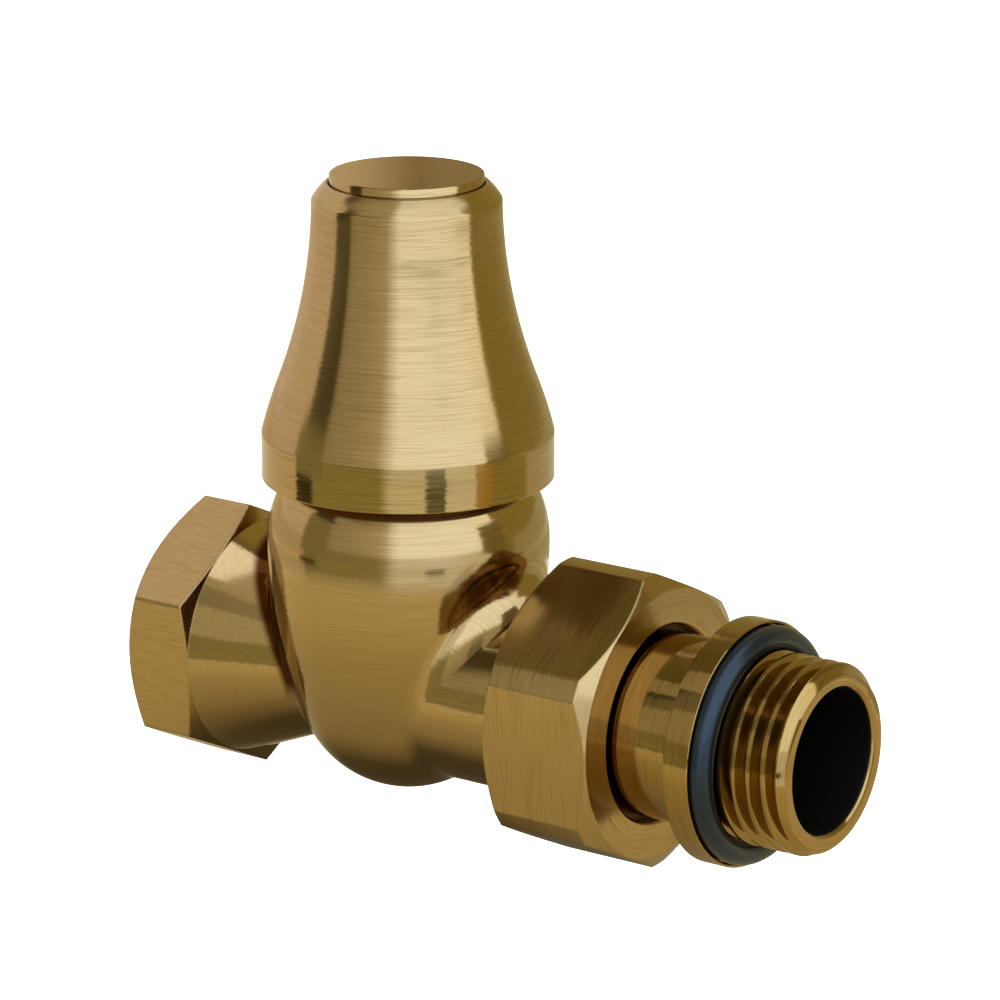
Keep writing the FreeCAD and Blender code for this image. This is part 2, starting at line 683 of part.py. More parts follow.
def hex_nut(label, flats, length, upright, turn=0.0):
    """A hexagonal blank along its axis, chamfered at both ends."""
    body = new_body(label)
    role = "XY_Plane" if upright else "YZ_Plane"
    pad(body, outline(body, role, hexagon(flats, turn)), length)
    chamfer_hexagon(body, flats, as_size(0), 1, upright)
    chamfer_hexagon(body, flats, length, -1, upright)
    return body


def make_bonnet():
    thread_radius = s.bonnet_thread_radius - s.running_clearance
    bottom = -(s.gasket_thickness + s.bonnet_thread_depth)
    nut_radius = s.spindle_thread_radius + s.running_clearance
    ring_floor = guide_radius + s.stem_ring_wire + s.running_clearance
    ring_half = s.stem_ring_wire / 2 + s.slip_clearance
    ring_low = stem_ring_height - ring_half
    ring_high = stem_ring_height + ring_half
    guide_end = s.stop_height + s.guide_length
    top = bonnet_top - bonnet_base
    bonnet = hex_nut("bonnet", s.bonnet_hex_flats, s.bonnet_hex_height, upright=True)
    revolve(bonnet, outline(bonnet, "XZ_Plane", [
        (0, bottom), (thread_radius - s.edge_break, bottom), (thread_radius, bottom + s.edge_break),
        (thread_radius, s.edge_break), (s.gland_thread_radius, s.edge_break),
        (s.gland_thread_radius, top - s.edge_break), (s.gland_thread_radius - s.edge_break, top), (0, top),
    ]), "V_Axis")
    groove(bonnet, outline(bonnet, "XZ_Plane", [
        (0, bottom), (nut_radius, bottom), (nut_radius, s.stop_height), (guide_radius, s.stop_height),
        (guide_radius, ring_low), (ring_floor, ring_low),
        (ring_floor, ring_high), (guide_radius, ring_high),
        (guide_radius, guide_end), (s.packing_radius, guide_end), (s.packing_radius, top), (0, top),
    ]), "V_Axis")
    place(bonnet, z=bonnet_base)


def make_bonnet_gasket():
    inner = s.bonnet_thread_radius
    outer = inner + s.gasket_width
    gasket = turned_upright("bonnet_gasket", ring_corners(inner, outer, s.gasket_thickness))
    place(gasket, z=body_rim_top)


def make_spindle_o_ring():
    ring = o_ring("spindle_o_ring", guide_radius + s.stem_ring_wire / 2, s.stem_ring_wire)
    place(ring, z=bonnet_base + stem_ring_height)


def make_gland_packing():
    packing = turned_upright("gland_packing", ring_corners(guide_radius, packing_bore, s.packing_length))
    place(packing, z=packing_floor)


def make_gland_ring():
    inner = s.spindle_stem_radius + s.slip_clearance
    ring = turned_upright("gland_ring", ring_corners(inner, packing_bore, s.gland_ring_length))
    place(ring, z=packing_floor + s.packing_length)


def make_gland_nut():
    length = s.gland_nut_skirt + s.gland_nut_lip
    thread_radius = s.gland_thread_radius + s.running_clearance
    hole_radius = s.spindle_stem_radius + s.slip_clearance * 2
    nut = hex_nut("gland_nut", s.gland_nut_flats, length, upright=True)
    groove(nut, outline(nut, "XZ_Plane", [
        (0, 0), (thread_radius + s.edge_break, 0), (thread_radius, s.edge_break),
        (thread_radius, s.gland_nut_skirt), (hole_radius, s.gland_nut_skirt),
        (hole_radius, length), (0, length),
    ]), "V_Axis")
    place(nut, z=gland_lip - s.gland_nut_skirt)


# Handle: hollow bell, its bush on the spindle's square, its screw and the disc that covers it

def make_handle():
    top = s.handle_height
    crown_height = top - s.handle_crown_drop
    recess_radius = s.disc_radius + s.slip_clearance
    recess_floor = disc_floor - handle_edge
    pocket_floor = screw_floor - handle_edge
    ceiling = cavity_ceiling - handle_edge
    skirt_height = s.handle_band_height + s.skirt_extra
    ceiling_radius = s.handle_crown_radius - s.handle_crown_wall
    hole_radius = s.screw_radius + s.slip_clearance
    handle = turned_upright("handle", [
        (handle_skirt_radius, 0), (s.handle_rim_radius - s.edge_break, 0),
        (s.handle_rim_radius, s.edge_break),
        (s.handle_rim_radius, s.handle_band_height, s.handle_flare_bend, LEFT),
        (s.handle_flare_radius, s.handle_flare_height, s.handle_waist_bend, RIGHT),
        (s.handle_crown_radius, crown_height, s.handle_crown_bend, LEFT),
        (recess_radius + s.handle_land, top), (recess_radius, top), (recess_radius, recess_floor),
        (s.screw_pocket_radius, recess_floor), (s.screw_pocket_radius, pocket_floor),
        (hole_radius, pocket_floor), (hole_radius, ceiling), (ceiling_radius, ceiling),
        (handle_skirt_radius, skirt_height),
    ], role="YZ_Plane")
    socket = outline(handle, "XY_Plane", hexagon(s.insert_flats + s.running_clearance * 2), ceiling)
    pocket(handle, socket, insert_top + s.slip_clearance - cavity_ceiling, reverse=True)
    place(handle, z=handle_edge)


def make_handle_insert():
    insert = new_body("handle_insert")
    length = insert_top - insert_base
    half = s.spindle_square / 2 + s.running_clearance
    pad(insert, outline(insert, "XY_Plane", hexagon(s.insert_flats)), length)
    square = [(-half, -half), (half, -half), (half, half), (-half, half)]
    pocket(insert, outline(insert, "XY_Plane", square), length, reverse=True)
    place(insert, z=insert_base)


def make_screw_washer():
    inner = s.screw_radius + s.slip_clearance
    outer = s.screw_washer_radius
    washer = turned_upright("screw_washer", ring_corners(inner, outer, s.screw_washer_thickness))
    place(washer, z=screw_floor)


def make_handle_screw():
    head_top = s.screw_head_height
    tip = -s.screw_length
    screw = turned_upright("handle_screw", [
        (0, tip), (s.screw_radius - s.edge_break, tip), (s.screw_radius, tip + s.edge_break),
        (s.screw_radius, 0), (s.screw_head_radius, 0), (s.screw_head_radius, head_top - s.edge_break),
        (s.screw_head_radius - s.edge_break, head_top), (0, head_top),
    ])
    pocket(screw, outline(screw, "XY_Plane", hexagon(s.screw_key_flats), head_top), s.screw_key_depth)
    place(screw, z=screw_floor + s.screw_washer_thickness)


def make_top_disc():
    spigot_radius = s.screw_pocket_radius - s.slip_clearance
    edge = s.edge_break / 2
    disc = turned_upright("top_disc", [
        (0, -s.disc_spigot_height), (spigot_radius, -s.disc_spigot_height), (spigot_radius, 0),
        (s.disc_radius, 0), (s.disc_radius, s.disc_thickness - edge),
        (s.disc_radius - edge, s.disc_thickness), (0, s.disc_thickness),
    ], role="YZ_Plane")
    place(disc, z=disc_base)


# Tail and union: tailpiece, its rings, and the nut that draws it to the body

def thread_corners(end):
    """Rings of the radiator thread, from the collar outwards: a valley before each crest.

    The last flank runs up to the cone of the end chamfer.
    """
    root = s.tail_thread_radius - s.tail_thread_depth
    land = s.tail_crest / 2
    last_valley = end - s.tail_last_valley
    corners = []
    for number in reversed(range(TAIL_VALLEYS)):
        valley = last_valley - s.tail_thread_pitch * number
        crest = valley + s.tail_thread_pitch / 2
        corners.append((valley - land, root))
        corners.append((valley + land, root))
        if number > 0:
            corners.append((crest - land, s.tail_thread_radius))
            corners.append((crest + land, s.tail_thread_radius))
    slope = s.tail_thread_depth / (s.tail_thread_pitch / 2 - s.tail_crest)
    end_radius = s.tail_thread_radius - s.tail_end_chamfer
    meeting = (end_radius + end - root + slope * (last_valley + land)) / (slope + 1)
    corners.append((meeting, end_radius + end - meeting))
    corners.append((end, end_radius))
    return corners


def make_tailpiece():
    origin = s.outlet_length
    nose = spigot_nose - origin
    neck_end = collar_back - origin
    front = collar_front - origin
    end = tail_end - origin
    groove_low = -s.union_ring_offset - s.union_ring_wire / 2 - s.slip_clearance
    groove_high = -s.union_ring_offset + s.union_ring_wire / 2 + s.slip_clearance
    groove_floor = spigot_bore_radius - s.union_ring_wire
    ring_low = s.tail_rim
    ring_high = s.tail_rim + retaining_groove_width
    ring_floor = s.tail_neck_radius - s.retaining_ring_bite
    recess = front - s.collar_recess
    recess_radius = s.collar_radius - s.collar_lip
    root = s.tail_thread_radius - s.tail_thread_depth
    key_radius = s.tail_key_flats / 2
    bore_floor = end - s.tail_bore_depth
    tail = turned_along_pipe("tailpiece", [
        (nose, key_radius), (nose, s.spigot_radius - s.edge_break), (nose + s.edge_break, s.spigot_radius),
        (groove_low, s.spigot_radius), (groove_low, groove_floor),
        (groove_high, groove_floor), (groove_high, s.spigot_radius),
        (0, s.spigot_radius), (0, s.tail_neck_radius), (ring_low, s.tail_neck_radius),
        (ring_low, ring_floor), (ring_high, ring_floor), (ring_high, s.tail_neck_radius),
        (neck_end, s.tail_neck_radius), (neck_end, s.collar_radius - s.edge_break),
        (neck_end + s.edge_break, s.collar_radius), (front - s.edge_break / 2, s.collar_radius),
        (front, s.collar_radius - s.edge_break / 2), (front, recess_radius),
        (recess, recess_radius), (recess, root),
        *thread_corners(end),
        (end, s.tail_bore_radius + s.edge_break), (end - s.edge_break, s.tail_bore_radius),
        (bore_floor, s.tail_bore_radius), (bore_floor, key_radius),
    ])
    key_way = outline(tail, "YZ_Plane", hexagon(s.tail_key_flats), nose)
    pocket(tail, key_way, bore_floor - nose, reverse=True)
    place(tail, x=origin)


def make_tail_o_ring():
    radius = s.collar_radius - s.collar_lip - s.running_clearance - s.tail_ring_wire / 2
    ring = o_ring("tail_o_ring", radius, s.tail_ring_wire, ALONG_PIPE)
    place(ring, x=collar_front - s.collar_recess + s.tail_ring_wire / 2)


def make_union_o_ring():
    ring = o_ring("union_o_ring", spigot_bore_radius - s.union_ring_wire / 2, s.union_ring_wire, ALONG_PIPE)
    place(ring, x=s.outlet_length - s.union_ring_offset)


def make_nut_retaining_ring():
    inner = s.tail_neck_radius - s.retaining_ring_bite + s.running_clearance
    outer = union_thread_radius - s.retaining_ring_clearance
    width = s.retaining_ring_width
    ring = turned_along_pipe("nut_retaining_ring", [(0, inner), (0, outer), (width, outer), (width, inner)])
    half_gap = s.retaining_ring_gap / 2
    notch = [(-half_gap, 0), (half_gap, 0), (half_gap, outer * 2), (-half_gap, outer * 2)]
    pocket(ring, outline(ring, "YZ_Plane", notch), width, reverse=True)
    place(ring, x=retaining_groove + s.running_clearance)


def make_union_nut():
    hole_radius = s.tail_neck_radius + s.nut_hole_clearance
    lip_back = s.nut_length - s.nut_lip
    flats = nut_half_flats * 2
    corner_radius = flats * HEX_CORNER - s.nut_corner_cut
    nut = hex_nut("union_nut", flats, s.nut_length, upright=False, turn=NUT_TURN)
    groove(nut, outline(nut, "XZ_Plane", [
        (0, corner_radius), (0, flats), (s.nut_length, flats), (s.nut_length, corner_radius),
    ]), "H_Axis")
    groove(nut, outline(nut, "XZ_Plane", [
        (0, 0), (0, nut_thread_radius + s.thread_lead_in), (s.thread_lead_in, nut_thread_radius),
        (lip_back, nut_thread_radius), (lip_back, hole_radius),
        (s.nut_length - s.edge_break, hole_radius),
        (s.nut_length, hole_radius + s.edge_break), (s.nut_length, 0),
    ]), "H_Axis")
    place(nut, x=nut_back)


# Build, check and write

def check(document):
    for item in document.Objects:
        if "Invalid" in item.State or "Error" in item.State:
            raise RuntimeError(f"{item.Label} failed: {item.State}")
    for piece in pieces:
        if piece.Shape.isNull() or not piece.Shape.isValid() or len(piece.Shape.Solids) != 1:
            raise RuntimeError(f"{piece.Label} has no valid single solid")


def main():
    make_valve_body()
    make_seat_washer()
    make_washer_screw()
    make_jumper()
    make_jumper_clip()
    make_spindle()
    make_bonnet()
    make_bonnet_gasket()
    make_spindle_o_ring()
    make_gland_packing()
    make_gland_ring()
    make_gland_nut()
    make_handle()
    make_handle_insert()
    make_screw_washer()
    make_handle_screw()
    make_top_disc()
    make_tailpiece()
    make_tail_o_ring()
    make_union_o_ring()
    make_nut_retaining_ring()
    make_union_nut()
    doc.recompute()
    check(doc)
    os.makedirs("parts", exist_ok=True)
    for piece in pieces:
        piece.Shape.exportStep(f"parts/{piece.Label}.step")
        box = piece.Shape.BoundBox
        print(f"{piece.Label}: {piece.Shape.Volume:.1f} mm3, x {box.XMin:.2f} to {box.XMax:.2f}, "
              f"z {box.ZMin:.2f} to {box.ZMax:.2f}")


main()
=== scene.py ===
# %% [markdown]
# A straight radiator valve in brushed antique brass, dressed for a studio picture.
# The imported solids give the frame: every node sits in its true place, with the origin at the middle of
# the inlet's mouth, +X along the pipe to the radiator and +Z up the spindle.
# The six pieces that show are modelled again here with soft edges and real threads, and the pieces
# inside keep their plain solids and only get their finish.

# %% The frame
import json
import math

import bmesh
import bpy
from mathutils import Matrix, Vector


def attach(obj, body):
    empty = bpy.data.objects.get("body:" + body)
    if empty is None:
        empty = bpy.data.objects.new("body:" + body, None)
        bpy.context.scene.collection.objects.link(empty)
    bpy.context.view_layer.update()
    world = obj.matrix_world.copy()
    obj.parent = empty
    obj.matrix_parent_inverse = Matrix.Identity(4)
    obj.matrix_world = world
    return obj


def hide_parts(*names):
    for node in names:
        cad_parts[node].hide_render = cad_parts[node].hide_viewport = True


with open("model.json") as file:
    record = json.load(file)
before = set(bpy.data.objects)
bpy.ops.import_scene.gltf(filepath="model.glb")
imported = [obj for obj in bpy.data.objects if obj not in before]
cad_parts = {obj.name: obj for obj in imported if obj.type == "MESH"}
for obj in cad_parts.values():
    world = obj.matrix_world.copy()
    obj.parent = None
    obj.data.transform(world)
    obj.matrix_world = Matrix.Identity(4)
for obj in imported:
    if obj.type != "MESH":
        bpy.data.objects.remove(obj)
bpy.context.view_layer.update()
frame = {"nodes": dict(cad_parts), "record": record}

MM = 0.001

# %% [markdown]
# The camera stands where the photographer stood: a little right of the valve's front, slightly above it,
# with a long lens that keeps the parallel edges nearly parallel.
# It was fitted to the picture on the handle's outline, the corners of both hexagons and the tail's rings.

# %% Camera
SPINDLE_X = 29.4 * MM
CAMERA_AZIMUTH = math.radians(35.36)
CAMERA_ELEVATION = math.radians(16.234)
CAMERA_DISTANCE = 568.814 * MM
LENS_PIXELS = 5113.693
PICTURE_PIXELS = 1000
SENSOR_MM = 36
VALVE_CENTRE_IN_PICTURE = (409.275, 667.003)
NEAREST, FARTHEST = 0.05, 50

sin_a, cos_a = math.sin(CAMERA_AZIMUTH), math.cos(CAMERA_AZIMUTH)
sin_e, cos_e = math.sin(CAMERA_ELEVATION), math.cos(CAMERA_ELEVATION)
to_right = Vector((cos_a, sin_a, 0))
forward = Vector((-sin_a * cos_e, cos_a * cos_e, -sin_e))
upward = Vector((-sin_a * sin_e, cos_a * sin_e, cos_e))
metres_per_pixel = CAMERA_DISTANCE / LENS_PIXELS
shift_right = (VALVE_CENTRE_IN_PICTURE[0] - PICTURE_PIXELS / 2) * metres_per_pixel
shift_up = (PICTURE_PIXELS / 2 - VALVE_CENTRE_IN_PICTURE[1]) * metres_per_pixel

bpy.ops.object.select_all(action="DESELECT")
bpy.ops.object.camera_add()
camera = bpy.context.object
camera.location = (Vector((SPINDLE_X, 0, 0)) - forward * CAMERA_DISTANCE
                   - to_right * shift_right - upward * shift_up)
camera.rotation_mode = "QUATERNION"
camera.rotation_quaternion = forward.to_track_quat("-Z", "Y")
camera.data.sensor_width = SENSOR_MM
camera.data.lens = LENS_PIXELS / PICTURE_PIXELS * SENSOR_MM
camera.data.clip_start, camera.data.clip_end = NEAREST, FARTHEST
bpy.context.scene.camera = camera
bpy.context.scene.view_settings.view_transform = "Standard"
print("camera at", [round(v / MM, 1) for v in camera.location], "mm")
print("lens", round(camera.data.lens, 1), "mm")

# %% [markdown]
# Colours are written as they look on a screen, and the shaders work in linear light,
# so each one passes through the same conversion. One small function adds every shader node.

# %% Colour and node helpers
def linear(hex_colour):
    """Red, green, blue and full alpha in linear light, from a colour written as on a screen."""
    screen = [int(hex_colour[i:i + 2], 16) / 255 for i in (1, 3, 5)]
    return [c / 12.92 if c <= 0.04045 else ((c + 0.055) / 1.055) ** 2.4 for c in screen] + [1.0]


def add_node(material, kind, inputs=(), **settings):
    """Add a shader node; inputs maps a socket's name or number to a value or to another node's output."""
    made = material.node_tree.nodes.new("ShaderNode" + kind)
    for name, value in settings.items():
        setattr(made, name, value)
    for socket, value in dict(inputs).items():
        if isinstance(value, bpy.types.NodeSocket):
            material.node_tree.links.new(value, made.inputs[socket])
        else:
            made.inputs[socket].default_value = value
    return made


def new_material(name):
    """A material with an empty node tree and its output node."""
    material = bpy.data.materials.new(name)
    material.use_nodes = True
    material.node_tree.nodes.clear()
    return material, add_node(material, "OutputMaterial")


def surface(material, output, shader):
    """Join a shader to the material's output."""
    material.node_tree.links.new(shader.outputs[0], output.inputs["Surface"])
    return material


print("cream reads as", [round(c, 3) for c in linear("#D8C291")])

# %% [markdown]
# Brushed brass shows what surrounds it more than its own colour, so the studio is built for reflections.
# Glowing cards stand round the valve, bent round the spindle so that their edges stay upright in the brass.
# A tall cool soft box in front and to the right gives the broad cream panel down the handle, a dark strip
# left of it gives the dark stripe, and warm cards round the back give the tans and browns of the sides.
# The walls stand one above the other, because the handle's shoulder, its flank, its band and the bulb
# each look out at a height of their own. The cards show only in reflections.

# %% Card walls
RING_RADIUS = 0.15
RING_VERTICES = 128
CROWN_WALL = (182 * MM, 220 * MM)
TOP_WALL = (105 * MM, 182 * MM)
UPPER_WALL = (22 * MM, 105 * MM)
LOWER_WALL = (-33 * MM, 22 * MM)
BAND_STRIP = (-18.4 * MM, -9.6 * MM)
BAND_STRIP_RADIUS = 0.98 * RING_RADIUS
CEILING_HEIGHT = 220.5 * MM
CEILING_RING_HOLE = 0.22 * RING_RADIUS
FRONT = CAMERA_AZIMUTH - math.pi / 2
FULL_TURN = 360
BRIGHTEST = 2.5


def reflection_only(card):
    """Keep a card out of the picture and out of the light on the floor, so that only the brass shows it."""
    card.visible_camera = card.visible_diffuse = card.visible_shadow = False
    card.visible_transmission = card.visible_volume_scatter = False


def fill_ramp(ramp, stops):
    """Set a ramp's stops from (position, tint, strength), counting strength against the brightest card."""
    elements = ramp.color_ramp.elements
    while len(elements) < len(stops):
        elements.new(1.0)
    for element, (position, tint, strength) in zip(elements, stops):
        element.position = position
        element.color = [c * strength / BRIGHTEST for c in linear(tint)[:3]] + [1.0]


def card_wall(name, heights, stops, radius=RING_RADIUS, top_radius=None):
    """A round wall of cards about the spindle; each stop is (degrees from the front, tint, strength)."""
    low, high = heights
    bpy.ops.object.select_all(action="DESELECT")
    bpy.ops.mesh.primitive_cone_add(vertices=RING_VERTICES, radius1=radius, radius2=top_radius or radius,
                                    depth=high - low, end_fill_type="NOTHING",
                                    location=(SPINDLE_X, 0, (low + high) / 2), rotation=(0, 0, FRONT))
    wall = bpy.context.object
    wall.name = name
    material, output = new_material(name)
    place = add_node(material, "TexCoord")
    turn = add_node(material, "TexGradient", {"Vector": place.outputs["Object"]}, gradient_type="RADIAL")
    ramp = add_node(material, "ValToRGB", {"Fac": turn.outputs["Fac"]})
    fill_ramp(ramp, [(0.5 + degrees / FULL_TURN, tint, strength) for degrees, tint, strength in stops])
    shader = add_node(material, "Emission", {"Color": ramp.outputs["Color"], "Strength": BRIGHTEST})
    wall.data.materials.append(surface(material, output, shader))
    reflection_only(wall)


TAN, DARK, OLIVE, COOL, BROWN = "#FFF6ED", "#FFEE9B", "#FFFBDC", "#D8E8FF", "#FFEB93"
AMBER, HONEY, SAND, PEARL, CEILING = "#FFD890", "#FFE2A8", "#FFE6B9", "#E6EEF0", "#FFEFB0"
card_wall("top_card_wall", TOP_WALL, [
    (-180, AMBER, 0.33), (-176, HONEY, 0.6), (-168, TAN, 0.8), (-150, TAN, 0.95), (-90, TAN, 1.0),
    (-87, DARK, 0.1), (-68, DARK, 0.1), (-66, OLIVE, 0.3), (-48, OLIVE, 0.32), (-40, OLIVE, 0.36),
    (-22, OLIVE, 0.6), (-7, COOL, 2.4), (50, COOL, 2.4), (77.5, PEARL, 2.1), (79, BROWN, 0.42),
    (172, BROWN, 0.42), (178, SAND, 0.3)])
card_wall("crown_card_wall", CROWN_WALL, [
    (-180, AMBER, 0.33), (-176, HONEY, 0.6), (-168, TAN, 0.8), (-150, TAN, 0.95), (-114, TAN, 1.0),
    (-112, DARK, 0.1), (-98, DARK, 0.1), (-96, OLIVE, 0.5), (-24, OLIVE, 0.7), (-12, COOL, 2.3),
    (101, COOL, 2.1), (105, BROWN, 0.42), (172, BROWN, 0.42), (178, SAND, 0.3)])
card_wall("upper_card_wall", UPPER_WALL, [
    (-180, AMBER, 0.28), (-176, HONEY, 0.7), (-168, "#FFEBD0", 0.84), (-140, "#FFEFDA", 0.9),
    (-88.5, "#FFF2E4", 0.92), (-87.5, DARK, 0.085), (-67.5, DARK, 0.085), (-65.5, OLIVE, 0.52),
    (-45, OLIVE, 0.6), (-22, OLIVE, 0.76), (-7, COOL, 2.45), (50, COOL, 2.45), (77.5, PEARL, 2.15),
    (79, BROWN, 0.42), (172, BROWN, 0.42), (178, "#FFE09A", 0.37)])

LOW_TAN, LOW_OLIVE, LOW_COOL, LOW_BROWN, LOW_STRAW = "#FFEDCF", "#FFFAC0", "#E3EEFF", "#FFF0A0", "#FFF6C0"
card_wall("lower_card_wall", LOWER_WALL, [
    (-180, "#FFDFA0", 0.7), (-135, "#FFE2AC", 0.74), (-118, LOW_TAN, 0.77), (-89, LOW_TAN, 0.74),
    (-87, LOW_OLIVE, 0.34), (-68, LOW_OLIVE, 0.38), (-22, "#FFFAB8", 0.42), (-8, LOW_COOL, 1.46),
    (30, LOW_COOL, 1.46), (58, "#FBFFF1", 1.1), (63, LOW_BROWN, 0.38), (88, LOW_BROWN, 0.38),
    (95, LOW_STRAW, 0.56), (130, LOW_STRAW, 0.56), (172, BROWN, 0.45), (180, SAND, 0.6)])

BAND_TAN, BAND_DARK, BAND_OLIVE, BAND_CREAM = "#FFEDC9", "#FFEE7C", "#FFFAA5", "#FBFFE7"
BAND_GAP, BAND_PALE, BAND_ORANGE = "#FFF04A", "#FCFFF5", "#FFD86E"
BAND_BROWN, BAND_SIDE = "#FFF592", "#FFF6CD"
card_wall("band_strip_wall", BAND_STRIP, [
    (-180, BAND_TAN, 0.88), (-93, BAND_TAN, 0.88), (-91.5, BAND_DARK, 0.06), (-77, BAND_DARK, 0.06),
    (-75, BAND_OLIVE, 0.44), (-20, BAND_OLIVE, 0.46), (-12, BAND_CREAM, 1.02), (13.5, BAND_CREAM, 1.02),
    (14.5, BAND_GAP, 0.15), (28.5, BAND_GAP, 0.15), (29.5, BAND_PALE, 1.09), (52, BAND_PALE, 1.09),
    (53.5, BAND_ORANGE, 0.62), (66, BAND_ORANGE, 0.58), (69, BAND_BROWN, 0.42), (100, BAND_BROWN, 0.42),
    (105, BAND_SIDE, 0.66), (180, BAND_SIDE, 0.66)], radius=BAND_STRIP_RADIUS)
card_wall("ceiling_ring", (CEILING_HEIGHT, CEILING_HEIGHT + MM), [
    (-180, CEILING, 0.25), (-114, CEILING, 0.25), (-112, DARK, 0.1), (-98, DARK, 0.1), (-96, OLIVE, 0.5),
    (-24, OLIVE, 0.7), (-12, COOL, 2.3), (101, COOL, 2.1), (105, BROWN, 0.42), (170, BROWN, 0.42),
    (175, CEILING, 0.25)], top_radius=CEILING_RING_HOLE)
print("six card walls about", RING_RADIUS, "m from the spindle")

# %% [markdown]
# A few small cards stand close to the valve, where only one form sees each of them: two bent flags
# beside the bulb give its olive and brown patches, a flat one over the nut keeps its upper flat dark,
# and a cool one over the inlet neck gives the bright facet there.

# %% Flags and overhead cards
FLAG_RADIUS = 0.06
FLAG_STEPS = 6
CEILING_SIZE = 0.4


def flag(name, turn, heights, tint, strength):
    """A small card bent about the spindle, close enough that the bulb shows it and the handle does not."""
    first, last = (math.radians(degrees) for degrees in turn)
    x = SPINDLE_X + FLAG_RADIUS * math.cos(FRONT + first)
    y = FLAG_RADIUS * math.sin(FRONT + first)
    bpy.ops.object.select_all(action="DESELECT")
    bpy.ops.mesh.primitive_plane_add(size=MM)
    card = bpy.context.object
    card.name = name
    bpy.ops.object.mode_set(mode="EDIT")
    bpy.ops.mesh.select_all(action="SELECT")
    bpy.ops.mesh.merge(type="CENTER")
    bpy.ops.transform.translate(value=(x, y, heights[0]))
    bpy.ops.mesh.extrude_region_move(TRANSFORM_OT_translate={"value": (0, 0, heights[1] - heights[0])})
    bpy.ops.mesh.select_all(action="SELECT")
    bpy.ops.mesh.spin(steps=FLAG_STEPS, angle=first - last, center=(SPINDLE_X, 0, 0), axis=(0, 0, 1))
    bpy.ops.object.mode_set(mode="OBJECT")
    material, output = new_material(name)
    shader = add_node(material, "Emission", {"Color": linear(tint), "Strength": strength})
    card.data.materials.append(surface(material, output, shader))
    reflection_only(card)


def flat_card(name, corner, size, height, tint, strength):
    """A flat card overhead, laid out from one corner; only its underside glows."""
    middle = (corner[0] + size[0] / 2, corner[1] + size[1] / 2, height)
    bpy.ops.object.select_all(action="DESELECT")
    bpy.ops.mesh.primitive_plane_add(size=1.0, location=middle, rotation=(math.pi, 0, 0))
    card = bpy.context.object
    card.name = name
    card.scale = (*size, 1.0)
    material, output = new_material(name)
    glow = add_node(material, "Emission", {"Color": linear(tint), "Strength": strength})
    clear = add_node(material, "BsdfTransparent")
    side = add_node(material, "NewGeometry")
    shader = add_node(material, "MixShader", {
        0: side.outputs["Backfacing"], 1: glow.outputs[0], 2: clear.outputs[0]})
    card.data.materials.append(surface(material, output, shader))
    reflection_only(card)


flag("olive_flag", (-85, -61), (12 * MM, 41 * MM), LOW_OLIVE, 0.36)
flag("brown_flag", (56, 76), (15 * MM, 39 * MM), LOW_BROWN, 0.3)
flat_card("ceiling", (-CEILING_SIZE / 2, -CEILING_SIZE / 2), (CEILING_SIZE, CEILING_SIZE),
          CEILING_HEIGHT + 2 * MM, CEILING, 0.25)
flat_card("nut_flag", (36 * MM, -18 * MM), (26 * MM, 20 * MM), 49 * MM, LOW_BROWN, 0.22)
flat_card("neck_card", (-1 * MM, -31 * MM), (15 * MM, 33 * MM), 50 * MM, "#E2ECFF", 2.2)
print("two flags and three overhead cards")

# %% [markdown]
# The picture itself is plain white. The floor lies well below the valve, which stands clear as if held by
# its pipe, so its soft shadow falls out of the picture. The undersides of the brass show a glowing card as
# a warm table, with the valve's shade painted darker in its middle, and one lamp overhead lights what is
# not metal.

# %% Table, floor and lamp
TABLE_HEIGHT = -33.5 * MM
TABLE_SHADE_SHIFT = 12 * MM
FLOOR_DEPTH = -0.2
FLOOR_SIZE = 12
LAMP_PLACE = (0.25, -0.5, 0.9)
LAMP_SIZE = 0.6
LAMP_WATTS = 4


def painted_shade_table_glow():
    """The glowing card that the lower half of the brass shows as a warm table, with the valve's shade
    painted darker close under the valve.
    """
    material, output = new_material("table_below")
    place = add_node(material, "TexCoord")
    shift = add_node(material, "VectorMath", {
        0: place.outputs["Object"], 1: (-TABLE_SHADE_SHIFT * sin_a, TABLE_SHADE_SHIFT * cos_a, 0)},
        operation="SUBTRACT")
    distance = add_node(material, "VectorMath", {0: shift.outputs[0]}, operation="LENGTH")
    outward = add_node(material, "Math", {0: distance.outputs["Value"], 1: RING_RADIUS}, operation="DIVIDE")
    ramp = add_node(material, "ValToRGB", {"Fac": outward.outputs[0]})
    # painted shadow: the glow is weakest close under the valve
    fill_ramp(ramp, [(0.08, "#FFE8B0", 0.1), (0.147, "#FFE8B0", 0.12), (0.273, "#FFEEB8", 0.45),
                     (0.4, "#FFEEB8", 0.58), (0.53, "#FFEEB8", 0.66), (0.67, "#FFF0BC", 0.78),
                     (1.0, "#FFF3C4", 0.85)])
    shader = add_node(material, "Emission", {"Color": ramp.outputs["Color"], "Strength": BRIGHTEST})
    return surface(material, output, shader)


def floor_finish():
    """Plain white: it takes the valve's shadow, and a little glow of its own lifts it to paper white."""
    material, output = new_material("studio_floor")
    paths = add_node(material, "LightPath")
    seen = add_node(material, "Math", {
        0: paths.outputs["Is Camera Ray"], 1: paths.outputs["Is Glossy Ray"]}, operation="ADD")
    seen = add_node(material, "Math", {
        0: seen.outputs[0], 1: paths.outputs["Is Transmission Ray"]}, operation="ADD", use_clamp=True)
    shader = add_node(material, "BsdfPrincipled", {
        "Base Color": linear("#DCDCDC"), "Roughness": 0.9, "Specular IOR Level": 0.0,
        "Emission Color": linear("#FFFFFF"), "Emission Strength": seen.outputs[0]})
    return surface(material, output, shader)


bpy.ops.mesh.primitive_plane_add(size=FLOOR_SIZE, location=(0, 0, FLOOR_DEPTH))
floor = bpy.context.object
floor.name = "studio_floor"
floor.data.materials.append(floor_finish())

